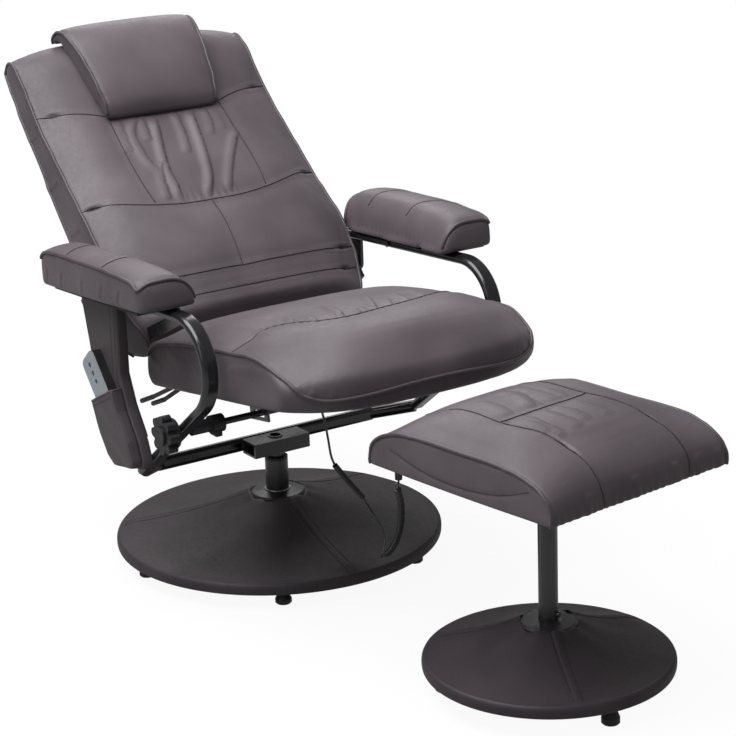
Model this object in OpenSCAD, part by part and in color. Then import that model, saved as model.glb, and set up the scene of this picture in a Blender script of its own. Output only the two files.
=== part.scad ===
// Swivel recliner with a free-standing ottoman, millimetres, +Z up.
// The origin is on the floor under the middle of the whole set, and the chair faces -Y.

/* [Swivel base] */
// Diameter of the covered base disc
base_d = 610; // [520:10:680]
// Height of the glides under the chair's base
glide_h = 27; // [18:1:36]
// Height of the upright rim of the base cover
rim_h = 21; // [19:1:30]
// Rise of the cover from the rim to the hub
tent_rise = 64; // [50:1:90]
// Diameter of the cap round the column
hub_d = 104; // [90:2:130]
// Outer diameter of the column sleeve
sleeve_d = 43; // [38:1:50]
// Height of the column sleeve above the hub
sleeve_rise = 66; // [50:1:90]
// Outer diameter of the swivel shaft
shaft_d = 28; // [24:1:30]

/* [Frame] */
// Height of the crossbar's top edge above the floor
crossbar_top = 223; // [215:1:235]
// Height of the crossbar's section, which stands upright
crossbar_h = 27; // [24:1:30]
// Thickness of the crossbar, front to rear
crossbar_t = 18; // [16:1:22]
// Distance of the crossbar's middle behind the column
crossbar_y = 29; // [26:1:32]
// Length of the swivel plate across the chair
plate_l = 118; // [100:2:150]
// Height of the swivel plate
plate_h = 27; // [25:1:30]
// Distance of each side tube's middle from the middle of the chair
tube_x = 293; // [290:1:305]
// Width of a side tube, across the chair
tube_w = 30; // [26:1:32]
// Thickness of a side tube in its own plane
tube_t = 16; // [14:1:18]
// Wall of the steel tubes
tube_wall = 1.8; // [1.2:0.1:2.5]
// Radius of the front bend of a side tube, at its middle
tube_bend_r = 85; // [75:1:95]
// Height of the side tube's middle at the front of its upper run
tube_top_z = 553; // [545:1:565]
// Fall of the upper run towards the rear, degrees
run_fall = 3.4; // [2:0.2:5]

/* [Recline] */
// Lean of the backrest from upright, as stored
back_lean = 44; // [36:1:48]
// Height of the backrest's pivot
pivot_z = 478; // [474:1:482]
// Distance of the backrest's pivot behind the column
pivot_y = 148; // [145:1:152]
// Tilt of the seat, front up
seat_tilt = 8.5; // [7.5:0.5:9.5]
// How far the seat slides from its rear stop to its front stop
seat_travel = 25; // [20:1:28]
// How far the stored pose is from the seat's rear stop
seat_out = 17; // [14:1:18]

/* [Cushions] */
// Half width of the seat
seat_half_w = 262; // [250:1:266]
// Length of the seat at its middle
seat_l = 556; // [530:1:560]
// Height of the seat's side panels
seat_side_h = 98; // [90:1:104]
// Rise of the seat's middle over its side panels
seat_crown = 17; // [8:1:20]
// Half width of the backrest at its foot
back_half_w = 268; // [258:1:269]
// Length of the backrest from its foot line to its top
back_l = 738; // [710:1:750]
// Unit of the backrest's depth
back_depth = 100; // [96:1:104]
// Rise of the backrest's middle over its side piping
back_crown = 22; // [12:1:24]
// Length of the head pillow
pillow_l = 221; // [190:1:230]
// Half width of the head pillow at its foot
pillow_half_w = 106; // [90:1:120]
// Thickness of the head pillow's edge
pillow_edge = 20; // [14:1:24]
// Rise of the head pillow's middle over its edge
pillow_crown = 22; // [14:1:26]
// Width of an arm pad
arm_w = 101; // [96:1:106]
// Length of an arm pad
arm_l = 366; // [350:1:390]
// Height of an arm pad at its sides
arm_h = 68; // [62:1:76]
// Rise of an arm pad's middle over its sides
arm_crown = 12; // [8:1:18]

/* [Ottoman] */
// Distance of the ottoman's post in front of the chair's column
ottoman_reach = 786; // [780:1:860]
// Distance of the ottoman's post from the middle of the chair
ottoman_x = 34; // [0:1:60]
// Turn of the ottoman on the floor
ottoman_turn = 7.5; // [0:0.5:10]
// Diameter of the ottoman's covered base disc
ottoman_base_d = 412; // [380:2:440]
// Diameter of the ottoman's post
ottoman_post_d = 32; // [28:1:38]
// Height of the ottoman cushion's underside
ottoman_seat_z = 375; // [364:1:382]
// Height of the glides under the ottoman's base
ottoman_glide_h = 35; // [26:1:40]
// Width of the ottoman cushion between its side panels
ottoman_w = 396; // [380:2:410]
// Depth of the ottoman cushion
ottoman_d = 420; // [400:2:426]
// Height of the ottoman cushion's side panels
ottoman_side_h = 80; // [74:1:88]
// Rise of the ottoman cushion's middle over its side panels
ottoman_crown = 20; // [12:1:24]

/* [Controls] */
// Diameter of a clamping knob over its lobes
knob_d = 70; // [60:1:76]
// Thickness of a clamping knob
knob_t = 30; // [24:1:36]
// Diameter of the cross rod
rod_d = 12; // [10:1:14]
// Width of the handset
handset_w = 54; // [48:1:58]
// Length of the handset
handset_l = 120; // [112:1:124]
// Thickness of the handset
handset_t = 19; // [17:1:22]
// Diameter of the plain lead
lead_d = 4; // [3:0.5:5]
// Outer diameter of the curly cord
curly_d = 13; // [11:0.5:15]

/* [Hidden] */
$fn = 48;

// Clearances
soft_gap = 0.3;
fit_gap = 0.05;
hole_gap = 0.3;
overrun = 1;

// Places of the two bases
back_foot_y = -15;
back_foot_z = 402;
back_top_share = 0.6;
back_reach = back_foot_y + back_l * sin(back_lean) + back_top_share * back_depth * cos(back_lean);
ottoman_front = ottoman_d / 2 * cos(ottoman_turn) + ottoman_w / 2 * sin(ottoman_turn);
chair_y = (ottoman_reach + ottoman_front - back_reach) / 2;

module at_chair() translate([0, chair_y, 0]) children();
module at_ottoman()
  translate([ottoman_x, chair_y - ottoman_reach, 0]) rotate([0, 0, ottoman_turn]) children();
module both_sides() {
  children();
  mirror([1, 0, 0]) children();
}

// A closed skin through rings of points, each ring with the same number of points, and a fan of
// triangles over each end ring.
function mean_of(ring, i = 0) = i == len(ring) ? [0, 0, 0] : ring[i] / len(ring) + mean_of(ring, i + 1);
module skin(rings) {
  count = len(rings);
  around = len(rings[0]);
  last = (count - 1) * around;
  mid = count * around;
  polyhedron(
    points = concat([for (ring = rings) each ring], [mean_of(rings[0]), mean_of(rings[count - 1])]),
    faces = concat(
      [for (j = [0:around - 1]) [(j + 1) % around, j, mid]],
      [for (i = [0:count - 2]) for (j = [0:around - 1])
        [i * around + j, i * around + (j + 1) % around, (i + 1) * around + j]],
      [for (i = [0:count - 2]) for (j = [0:around - 1])
        [(i + 1) * around + j, i * around + (j + 1) % around, (i + 1) * around + (j + 1) % around]],
      [for (j = [0:around - 1]) [last + j, last + (j + 1) % around, mid + 1]]));
}

// A cushion lofted across its width. Each row of the outline is a share of the length, a share of
// the depth and a share of the crown; flare widens it along its length, cut shortens its sides and
// pinch narrows its foot.
station_shares = [-1, -0.94, -0.8, -0.55, -0.25, 0, 0.25, 0.55, 0.8, 0.94, 1];
crown_power = 3;
cut_power = 4;
pinch_share = 0.25;
module cushion(outline, half_w, length, depth, crown, flare = 0, cut = 0, pinch = 0)
  skin([for (e = station_shares) [for (p = outline) [
    e * (half_w + flare * p[0] - pinch * pow(max(0, 1 - p[0] / pinch_share), 2)),
    p[0] * length * (1 - cut * pow(abs(e), cut_power)),
    p[1] * depth + p[2] * crown * (1 - pow(abs(e), crown_power))]]]);

// A round tube swept along a route.
function unit(v) = v / norm(v);
function heading(route, i) =
  unit(route[min(i + 1, len(route) - 1)] - route[max(i - 1, 0)]);
function ring_at(centre, along, radius, sides) =
  let (side = unit(cross(along, [1, 0, 0])), up = cross(side, along))
  [for (k = [0:sides - 1]) centre + radius * (cos(360 * k / sides) * side + sin(360 * k / sides) * up)];
module swept_tube(route, diameter, sides)
  skin([for (i = [0:len(route) - 1]) ring_at(route[i], heading(route, i), diameter / 2, sides)]);

// A flat-oval section, wide along X, centred.
module oval(w, t) {
  square([w - t, t], center = true);
  for (x = [-1, 1]) translate([x * (w - t) / 2, 0]) circle(d = t);
}

// Base heights
hub_z = glide_h + rim_h + tent_rise;
sleeve_top = hub_z + sleeve_rise;
cover_t = 2.5;
board_t = 13;
board_top = glide_h + cover_t + board_t;
hem_w = 14;

// The tented cover of a base: an upright rim with a turned-in hem, and a roof up to the hub.
roof_sag_share = 0.12;
module base_skin(disc_d, cap_d, rise, foot) translate([0, 0, foot]) {
  r = disc_d / 2;
  cap_r = cap_d / 2 - cover_t;
  mid_r = (r + cap_r) / 2;
  mid_z = rim_h + rise / 2 - roof_sag_share * rise;
  rotate_extrude() polygon([
    [r - hem_w, 0], [r - cover_t / 2, 0], [r, cover_t], [r, rim_h - 2 * cover_t],
    [r - cover_t, rim_h - cover_t / 2], [r - hem_w / 2, rim_h], [mid_r, mid_z], [cap_r, rim_h + rise],
    [cap_r, rim_h + rise - cover_t], [mid_r, mid_z - cover_t], [r - hem_w / 2, rim_h - cover_t],
    [r - cover_t, rim_h - 2 * cover_t], [r - cover_t, cover_t], [r - hem_w, cover_t]]);
}

// A three-legged spider of pressed channel legs under the roof, on the board.
spider_legs = 3;
leg_w = 30;
leg_wall = 3;
// Where a leg's outer corners meet a circle
function chord(r) = sqrt(r * r - leg_w * leg_w / 4);
module spider(disc_d, cap_d, rise, post_d, first_angle, foot) translate([0, 0, foot]) {
  r_in = post_d / 2 + hole_gap;
  r_out = disc_d / 2 - hem_w;
  cap_r = chord(cap_d / 2 - cover_t);
  mid_r = chord((disc_d + cap_d - 2 * cover_t) / 4);
  low_z = cover_t + board_t;
  mid_z = rim_h + rise / 2 - roof_sag_share * rise - cover_t - soft_gap;
  end_z = rim_h - cover_t - soft_gap;
  top_z = rim_h + rise - cover_t - soft_gap;
  for (k = [0:spider_legs - 1]) rotate([0, 0, first_angle + 360 * k / spider_legs])
    difference() {
      rotate([90, 0, 0]) linear_extrude(height = leg_w, center = true) polygon([
        [r_in, low_z], [r_out, low_z], [r_out, end_z], [mid_r, mid_z], [cap_r, top_z], [r_in, top_z]]);
      rotate([90, 0, 0]) linear_extrude(height = leg_w - 2 * leg_wall, center = true) polygon([
        [r_in + leg_wall, low_z - overrun], [mid_r, low_z - overrun], [mid_r, mid_z - leg_wall],
        [cap_r, top_z - leg_wall], [r_in + leg_wall, top_z - leg_wall]]);
    }
}

glide_d = 30;
glide_stem_d = glide_d / 3;
glide_inset = 35;
module glides(angles, at_r, foot) for (a = angles) rotate([0, 0, a]) translate([at_r, 0, 0])
  rotate_extrude() polygon([
    [0, 0], [glide_d / 2 - cover_t, 0], [glide_d / 2, cover_t], [glide_d / 2, foot / 3],
    [glide_stem_d, foot * 2 / 3], [glide_stem_d, foot + cover_t], [glide_stem_d / 2, foot + cover_t],
    [glide_stem_d / 2, foot + board_t], [0, foot + board_t]]);
module covered_board(disc_d, angles, at_r, foot) difference() {
  translate([0, 0, foot + cover_t]) cylinder(d = disc_d - 2 * cover_t - 2 * soft_gap, h = board_t);
  for (a = angles) rotate([0, 0, a]) translate([at_r, 0, foot])
    cylinder(d = glide_stem_d + hole_gap, h = board_t + hole_gap);
}

chair_glide_angles = [174, 240, 306, 12, 78];
chair_seam_angle = 25;
flange_d = 150;
flange_t = 4;
module base_board() color("burlywood") at_chair()
  covered_board(base_d, chair_glide_angles, base_d / 2 - glide_inset, glide_h);
module base_spider() color("dimgray") at_chair() difference() {
  spider(base_d, hub_d, tent_rise, sleeve_d, chair_seam_angle, glide_h);
  translate([0, 0, board_top - overrun])
    cylinder(d = flange_d + 2 * hole_gap, h = flange_t + overrun + hole_gap);
}
module base_cover() color("#4a4246") at_chair() base_skin(base_d, hub_d, tent_rise, glide_h);
module base_glides() color("#1b1b1d") at_chair()
  glides(chair_glide_angles, base_d / 2 - glide_inset, glide_h);

// Column: a sleeve with a foot flange, two plastic bushes and a thrust bearing under the shaft.
sleeve_wall = 3.5;
bush_l = 30;
bush_collar = 5;
race_h = 6;
sleeve_in_d = sleeve_d - 2 * sleeve_wall;
shaft_foot = board_top + flange_t + race_h;
dimple_d = 4;
dimple_drop = 22;
dimple_angle = 20;
module column_sleeve() color("#232326") at_chair() difference() {
  union() {
    translate([0, 0, board_top]) cylinder(d = flange_d, h = flange_t);
    translate([0, 0, board_top]) cylinder(d = sleeve_d, h = sleeve_top - board_top);
  }
  translate([0, 0, board_top + flange_t]) cylinder(d = sleeve_in_d, h = sleeve_top - board_top);
  for (a = [-dimple_angle, dimple_angle]) rotate([0, 0, a])
    translate([0, -sleeve_d / 2, sleeve_top - dimple_drop]) rotate([90, 0, 0])
      cylinder(d = dimple_d, h = sleeve_wall / 2, center = true);
}
module bush(z, collar) difference() {
  union() {
    translate([0, 0, z]) cylinder(d = sleeve_in_d, h = bush_l);
    if (collar) translate([0, 0, sleeve_top]) cylinder(d = sleeve_d, h = bush_collar);
  }
  translate([0, 0, z - overrun]) cylinder(d = shaft_d + 2 * fit_gap, h = bush_l + bush_collar + 2 * overrun);
}
module column_bushes() color("#1a1a1c") at_chair() {
  bush(shaft_foot, false);
  bush(sleeve_top - bush_l, true);
}
ball_d = 5;
module thrust_bearing() color("silver") at_chair() {
  ring_r = (sleeve_in_d - ball_d) / 2 - cover_t;
  race_t = (race_h - ball_d / 2) / 2;
  difference() {
    translate([0, 0, board_top + flange_t]) cylinder(d = sleeve_in_d - 2 * hole_gap, h = race_h);
    translate([0, 0, board_top + flange_t + race_t]) rotate_extrude()
      translate([ring_r - ball_d / 2, 0]) square([ball_d, ball_d / 2]);
    translate([0, 0, board_top]) cylinder(d = ring_r, h = flange_t + race_h + overrun);
  }
}
cap_t = 6;
cap_lip = 4;
module cap(cap_d, post_d, z) rotate_extrude() polygon([
  [post_d / 2 + hole_gap, z], [cap_d / 2, z], [cap_d / 2 - cap_lip, z + cap_t / 2],
  [post_d / 2 + cap_t, z + cap_t], [post_d / 2 + hole_gap, z + cap_t]]);
module hub_cap() color("#3d363a") at_chair() cap(hub_d, sleeve_d, hub_z + soft_gap);
ring_wire = 2.4;
module retaining_ring() color("silver") at_chair()
  translate([0, 0, hub_z + soft_gap + cap_t + ring_wire / 2]) rotate_extrude()
    translate([(sleeve_d + ring_wire) / 2 + hole_gap, 0]) circle(d = ring_wire);

// Ottoman stand
ottoman_rise = 54;
ottoman_hub_d = 96;
ottoman_hub_z = ottoman_glide_h + rim_h + ottoman_rise;
ottoman_board_top = ottoman_glide_h + cover_t + board_t;
ottoman_glide_angles = [21, 143, 259];
ottoman_seam_angle = -2;
plate_t = 4;
pad_board_t = 12;
ottoman_post_top = ottoman_seat_z - plate_t;
module ottoman_base_board() color("burlywood") at_ottoman()
  covered_board(ottoman_base_d, ottoman_glide_angles, ottoman_base_d / 2 - glide_inset, ottoman_glide_h);
module ottoman_spider() color("dimgray") at_ottoman()
  spider(ottoman_base_d, ottoman_hub_d, ottoman_rise, ottoman_post_d, ottoman_seam_angle, ottoman_glide_h);
module ottoman_base_cover() color("#4a4246") at_ottoman()
  base_skin(ottoman_base_d, ottoman_hub_d, ottoman_rise, ottoman_glide_h);
module ottoman_glides() color("#1b1b1d") at_ottoman()
  glides(ottoman_glide_angles, ottoman_base_d / 2 - glide_inset, ottoman_glide_h);
module ottoman_post() color("#232326") at_ottoman() difference() {
  translate([0, 0, ottoman_board_top]) cylinder(d = ottoman_post_d, h = ottoman_post_top - ottoman_board_top);
  translate([0, 0, ottoman_board_top + overrun])
    cylinder(d = ottoman_post_d - 4 * tube_wall, h = ottoman_post_top - ottoman_board_top);
  translate([0, 0, ottoman_screw_z]) rotate([90, 0, ottoman_screw_angle])
    cylinder(d = screw_d + 2 * hole_gap, h = ottoman_post_d);
}
module ottoman_hub_cap() color("#3d363a") at_ottoman()
  cap(ottoman_hub_d, ottoman_post_d, ottoman_hub_z + soft_gap);
screw_d = 5;
screw_head_d = 10;
screw_head_t = 4;
ottoman_screw_z = ottoman_hub_z + cap_t + screw_head_d;
ottoman_screw_angle = 20;
module ottoman_post_screw() color("#17171a") at_ottoman()
  translate([0, 0, ottoman_screw_z]) rotate([90, 0, ottoman_screw_angle]) {
    translate([0, 0, ottoman_post_d / 2 - 3 * tube_wall]) cylinder(d = screw_d, h = 4 * tube_wall);
    translate([0, 0, ottoman_post_d / 2 + hole_gap]) cylinder(d = screw_head_d, h = screw_head_t);
  }
top_plate_l = 200;
module ottoman_top_plate() color("#232326") at_ottoman()
  for (a = [0, 90]) rotate([0, 0, a])
    translate([-top_plate_l / 2, -leg_w / 2, ottoman_post_top]) cube([top_plate_l, leg_w, plate_t]);
pad_board_inset = 24;
motor_d = 60;
motor_h = 22;
ottoman_motor_x = 92;
module ottoman_pad_board(grow) {
  w = ottoman_w - 2 * pad_board_inset + 2 * grow;
  d = ottoman_d - 2 * pad_board_inset + 2 * grow;
  translate([-w / 2, -d / 2, ottoman_seat_z - 4 * grow]) cube([w, d, pad_board_t + 5 * grow]);
}
module ottoman_seat_board() color("burlywood") at_ottoman() ottoman_pad_board(0);
module motor() {
  cylinder(d = motor_d, h = motor_h / 2);
  cylinder(d = motor_d * 2 / 3, h = motor_h);
}
module motor_recess() {
  side = motor_d + 2 * soft_gap;
  through = pad_board_t + 6 * soft_gap;
  translate([-side / 2, -side / 2, -through]) cube([side, side, through + motor_h + soft_gap]);
}
module at_ottoman_motors()
  for (x = [-1, 1]) translate([x * ottoman_motor_x, 0, ottoman_seat_z + pad_board_t]) children();
module ottoman_motors() color("#2f6f73") at_ottoman() at_ottoman_motors() motor();
// The ottoman's side panel is a superellipse cut off flat below.
function bulge(v, power) = sign(v) * pow(abs(v), power);
ottoman_outline = [for (i = [0:14]) let (a = 180 * i / 14)
  [0.5 - bulge(cos(a), 0.55) / 2, bulge(sin(a), 0.62), sin(a)]];
module ottoman_cushion() color("#5b5257") at_ottoman() difference() {
  translate([0, -ottoman_d / 2, ottoman_seat_z])
    cushion(ottoman_outline, ottoman_w / 2, ottoman_d, ottoman_side_h, ottoman_crown);
  ottoman_pad_board(soft_gap);
  at_ottoman_motors() motor_recess();
}

// Cord between the two seats: a lead with a plug and socket, then a curly length. It lies in the
// chair's frame, and its points are chosen by hand along the hanging line.
seat_lead_route = [[-143, -398, 422], [-143, -398, 416], [-139.5, -398, 402], [-134, -398, 378],
  [-130, -399, 350], [-127, -401, 322], [-121, -402, 304]];
plug_joint = [-98, -406, 271];
plug_end = [-73, -411, 238];
ottoman_lead_route = [[-73, -411, 238], [-66, -416, 222], [-61, -428, 206], [-60, -446, 192],
  [-65, -463, 178], [-75, -474, 164], [-84, -480, 154.5], [-88.1, -482.8, 152.8], [-85, -488, 158]];
curly_route = [[-85, -488, 158], [-79, -498, 168], [-75, -514, 192], [-79, -534, 226], [-91, -556, 264],
  [-109, -580, 296], [-131, -606, 324]];
curly_tail_route = [[-131, -606, 324], [-142, -619, 338], [-150.5, -632, 343.5], [-156.5, -643.5, 347],
  [-159, -651.5, 351.5], [-159, -653.5, 356], [-159, -653.5, 360]];
plug_d = 10;
module between(a, b, d, h_share = 1) {
  v = b - a;
  length = norm(v);
  translate(a) rotate([0, acos(v.z / length), atan2(v.y, v.x)]) cylinder(d = d, h = length * h_share);
}
gland_d = 12;
module lead_plug() color("#161618") at_chair() between(plug_joint, plug_end, plug_d);
socket_joint = plug_joint + 2 * soft_gap * unit(plug_joint - plug_end);
module lead_socket() color("#161618") at_chair()
  between(socket_joint, seat_lead_route[len(seat_lead_route) - 1], plug_d);
module seat_lead() color("#161618") at_chair() swept_tube(seat_lead_route, lead_d, 8);
module ottoman_lead() color("#161618") at_chair() {
  swept_tube(ottoman_lead_route, lead_d, 8);
  swept_tube(curly_tail_route, lead_d, 8);
}
module curly_cord() color("#161618") at_chair() swept_tube(curly_route, curly_d, 12);
module ottoman_cord_gland() color("#161618") at_chair()
  translate(curly_tail_route[len(curly_tail_route) - 1])
    cylinder(d = gland_d, h = ottoman_seat_z - curly_tail_route[len(curly_tail_route) - 1].z);

// Swivel shaft, plate and crossbar
plate_wall = 4;
plate_front = -26;
plate_rear = crossbar_y - crossbar_t / 2;
shaft_proud = 2;
plate_top = crossbar_top - 1;
module swivel_shaft() color("#232326") at_chair() difference() {
  translate([0, 0, shaft_foot]) cylinder(d = shaft_d, h = plate_top + shaft_proud - shaft_foot);
  translate([0, 0, shaft_foot + overrun])
    cylinder(d = shaft_d - 4 * tube_wall, h = plate_top + shaft_proud - shaft_foot);
}
module swivel_plate() color("#1d1d20") at_chair() difference() {
  translate([-plate_l / 2, plate_front, plate_top - plate_h])
    cube([plate_l, plate_rear - plate_front, plate_h]);
  translate([-plate_l / 2 - overrun, plate_front + plate_wall, plate_top - plate_h + plate_wall])
    cube([plate_l + 2 * overrun, plate_rear - plate_front - 2 * plate_wall, plate_h - 2 * plate_wall]);
  translate([0, 0, plate_top - plate_h - overrun])
    cylinder(d = shaft_d + 2 * fit_gap, h = plate_h + 2 * overrun);
}
crossbar_z = crossbar_top - crossbar_h / 2;
bar_end = [232, crossbar_y, crossbar_z];
wing_end = [tube_x - 2, -36, 229];
wing_d = 23;
weld_bulge = 1;
module wing() {
  translate(bar_end) sphere(d = wing_d + weld_bulge);
  between(bar_end, wing_end, wing_d);
}
module crossbar() color("#1d1d20") at_chair() {
  translate([0, crossbar_y, crossbar_z]) rotate([90, 0, 90])
    linear_extrude(height = 2 * bar_end.x, center = true) rotate([0, 0, 90]) oval(crossbar_h, crossbar_t);
  both_sides() wing();
}

// Side tubes: an upper run, a front bend and a diagonal down to the crossbar, in one plane.
bend_y = -212;
bend_z = tube_top_z - tube_bend_r;
bend_sweep = 143;
run_l = 388;
diag_angle = bend_sweep - 90;
diag_top = [bend_y - tube_bend_r * cos(diag_angle), bend_z - tube_bend_r * sin(diag_angle)];
diag_foot_z = 231;
diag_l = (diag_top[1] - diag_foot_z) / cos(diag_angle);
function diag_y(z) = diag_top[0] + (diag_top[1] - z) * tan(diag_angle);
function run_z(y) = bend_z + tube_bend_r / cos(run_fall) - (y - bend_y) * tan(run_fall);
// The frame of the upper run: its origin on the bend's axis, Y along the run, Z square to it.
module in_run() translate([0, bend_y, bend_z]) rotate([-run_fall, 0, 0]) children();
module side_tube_solid(w, t) {
  in_run() translate([0, 0, tube_bend_r]) rotate([-90, 0, 0]) linear_extrude(height = run_l) oval(w, t);
  in_run() rotate([0, 90, 0]) rotate([0, 0, 180]) rotate_extrude(angle = bend_sweep + run_fall)
    translate([tube_bend_r, 0]) rotate([0, 0, 90]) oval(w, t);
  translate([0, diag_top[0], diag_top[1]]) rotate([180 + diag_angle, 0, 0]) translate([0, 0, -overrun])
    linear_extrude(height = diag_l + overrun) oval(w - 2 * fit_gap, t - 2 * fit_gap);
}
bolt_d = 6;
upper_bolt = [20, run_z(20)];
lower_bolt_z = 262;
lower_bolt = [diag_y(lower_bolt_z), lower_bolt_z];
rod_z = 345;
rod_y = diag_y(rod_z);
module cross_hole(at, d, w) translate([-w / 2 - overrun, at[0], at[1]]) rotate([0, 90, 0])
  cylinder(d = d, h = w + 2 * overrun);
module side_tube() at_chair() difference() {
  translate([tube_x, 0, 0]) difference() {
    side_tube_solid(tube_w, tube_t);
    cross_hole(upper_bolt, bolt_d + 2 * hole_gap, tube_w);
    cross_hole(lower_bolt, bolt_d + 2 * hole_gap, tube_w);
    cross_hole([rod_y, rod_z], rod_d + 2 * hole_gap, tube_w);
  }
  wing();
}
module side_tube_left() color("#1d1d20") mirror([1, 0, 0]) side_tube();
module side_tube_right() color("#1d1d20") side_tube();

// Hangers: flat plates under the rear ends of the side tubes, which carry the backrest's pivot.
module upright(at_x, t) translate([at_x, 0, 0]) rotate([90, 0, 90]) linear_extrude(height = t) children();
hanger_plate_x = 287;
hanger_plate_t = 6;
hanger_plate_w = 34;
pivot_d = 12;
module pivot_hangers() color("#1d1d20") at_chair() both_sides() difference() {
  upright(hanger_plate_x, hanger_plate_t) {
    translate([pivot_y, pivot_z]) circle(d = hanger_plate_w);
    translate([pivot_y - hanger_plate_w / 2, pivot_z]) square([hanger_plate_w, run_z(pivot_y) - pivot_z]);
  }
  translate([tube_x, 0, 0]) side_tube_solid(tube_w, tube_t);
  translate([hanger_plate_x + hanger_plate_t / 2, 0, 0])
    cross_hole([pivot_y, pivot_z], pivot_d, hanger_plate_t);
}

// Side panel: a wrapped board that hangs outside the left tube, with a narrower inner layer.
panel_t = 22;
panel_x = tube_x + tube_w / 2 + soft_gap;
panel_top = tube_top_z + tube_t / 2;
panel_foot = 247;
panel_w = 142;
panel_rear = 103;
panel_h = panel_top - panel_foot;
panel_layer_t = 12;
panel_layer_top = 500;
panel_layer_inset = 26;
// Rows of a share of the panel's height, and the rear and front edges as shares of its width. The
// foot rises towards the front.
panel_foot_rise = 10;
panel_shares = [[1, 0, 0.99], [0.9, -0.03, 0.99], [0.64, -0.18, 0.98], [0.5, -0.24, 0.98],
  [0.32, -0.36, 1.14], [0.16, -0.52, 1.37], [0.05, -0.68, 1.46], [0, -0.86, 1.44]];
function panel_outline(inset = 0, first = 0) = concat(
  [for (i = [first:len(panel_shares) - 1])
    [panel_rear + panel_shares[i][1] * panel_w - inset,
      panel_foot + inset + panel_shares[i][0] * (panel_h - inset)]],
  [for (i = [len(panel_shares) - 1:-1:first])
    [panel_rear - panel_shares[i][2] * panel_w + inset,
      panel_foot + inset + panel_shares[i][0] * (panel_h - inset)
        + (1 - panel_shares[i][0]) * panel_foot_rise]]);
module side_panel() color("#4d4449") at_chair() mirror([1, 0, 0]) difference() {
  union() {
    upright(panel_x, panel_t) polygon(panel_outline());
    upright(panel_x - panel_layer_t, panel_layer_t) intersection() {
      polygon(panel_outline(panel_layer_inset));
      translate([-panel_w, lower_bolt_z + tube_w])
        square([2 * panel_w, panel_layer_top - lower_bolt_z - tube_w]);
    }
  }
  in_run() translate([0, 0, tube_bend_r + tube_t / 2]) cube([2 * panel_x, run_l, panel_h]);
  translate([panel_x, 0, 0]) {
    cross_hole(upper_bolt, bolt_d + 2 * hole_gap, panel_t);
    cross_hole(lower_bolt, bolt_d + 2 * hole_gap, panel_t);
  }
}
bolt_head_d = 12;
bolt_head_t = 4;
module frame_bolt(at, x, length) translate([x, at[0], at[1]]) rotate([0, 90, 0]) {
  translate([0, 0, -bolt_head_t]) cylinder(d = bolt_head_d, h = bolt_head_t, $fn = 6);
  cylinder(d = bolt_d, h = length);
}
module frame_bolts() color("#2a2a2c") at_chair() {
  mirror([1, 0, 0]) for (at = [upper_bolt, lower_bolt])
    frame_bolt(at, tube_x - tube_w / 2, tube_w + panel_t / 4);
  for (at = [upper_bolt, lower_bolt]) frame_bolt(at, tube_x - tube_w / 2, tube_w);
}

// Pivot of the backrest: a shoulder bolt through each bracket and hanger.
bracket_t = 6;
bracket_x = back_half_w + 3;
module pivot_bolts() color("#2a2a2c") at_chair() both_sides() translate([0, pivot_y, pivot_z])
  rotate([0, 90, 0]) {
    shoulder_d = pivot_d + 2 * bolt_head_t;
    plate_end = hanger_plate_x + hanger_plate_t;
    translate([0, 0, bracket_x - bolt_head_t]) {
      cylinder(d = shoulder_d, h = bolt_head_t - soft_gap);
      cylinder(d = pivot_d, h = plate_end - bracket_x + bolt_head_t);
    }
    translate([0, 0, bracket_x + bracket_t + soft_gap])
      cylinder(d = shoulder_d, h = hanger_plate_x - bracket_x - bracket_t - soft_gap);
    translate([0, 0, plate_end]) cylinder(d = pivot_d + bolt_head_t, h = bolt_head_t);
  }

// Arm boards and pads, in the frame of the upper run
arm_x = 321.5;
arm_front = 6;
arm_lift = 10;
arm_board_t = 10;
arm_board_w = 74;
arm_board_inset = 24;
module arm_board(grow) translate([arm_x - arm_board_w / 2 - grow, arm_front + arm_board_inset - grow,
  tube_bend_r + tube_t / 2])
  cube([arm_board_w + 2 * grow, arm_l - 2 * arm_board_inset + 2 * grow, arm_board_t + grow]);
module arm_boards() color("#1b1b1d") at_chair() both_sides() in_run() arm_board(0);
arm_outline = [[0.012, 0, 0], [0, 0.08, 0], [-0.002, 0.4, 0], [0.004, 0.66, 0.3], [0.03, 0.76, 0.8],
  [0.1, 0.85, 1], [0.3, 0.96, 1], [0.6, 1, 1], [0.85, 0.96, 1], [0.96, 0.86, 0.7], [0.995, 0.68, 0.2],
  [1, 0.4, 0], [0.998, 0.08, 0], [0.985, 0, 0]];
module arm_pad() at_chair() in_run() difference() {
  translate([arm_x, arm_front, tube_bend_r + arm_lift])
    cushion(arm_outline, arm_w / 2, arm_l, arm_h, arm_crown);
  arm_board(soft_gap);
}
module arm_pad_left() color("#5b5257") mirror([1, 0, 0]) arm_pad();
module arm_pad_right() color("#5b5257") arm_pad();

// A short flat stay under the left tube's upper run.
stay_w = 22;
stay_t = 4;
stay_top = [-160, 534];
stay_foot = [-54, 484];
module left_stay() color("#1d1d20") at_chair() mirror([1, 0, 0])
  upright(tube_x - tube_w / 2 - stay_t, stay_t) {
    reach = stay_foot - stay_top;
    translate(stay_top) rotate([0, 0, atan2(reach[1], reach[0])])
      translate([-stay_w / 2, -stay_w / 2]) square([norm(reach) + stay_w / 2, stay_w]);
    translate(stay_top - [stay_w / 2, 0]) square([stay_w, stay_w]);
  }

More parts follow.
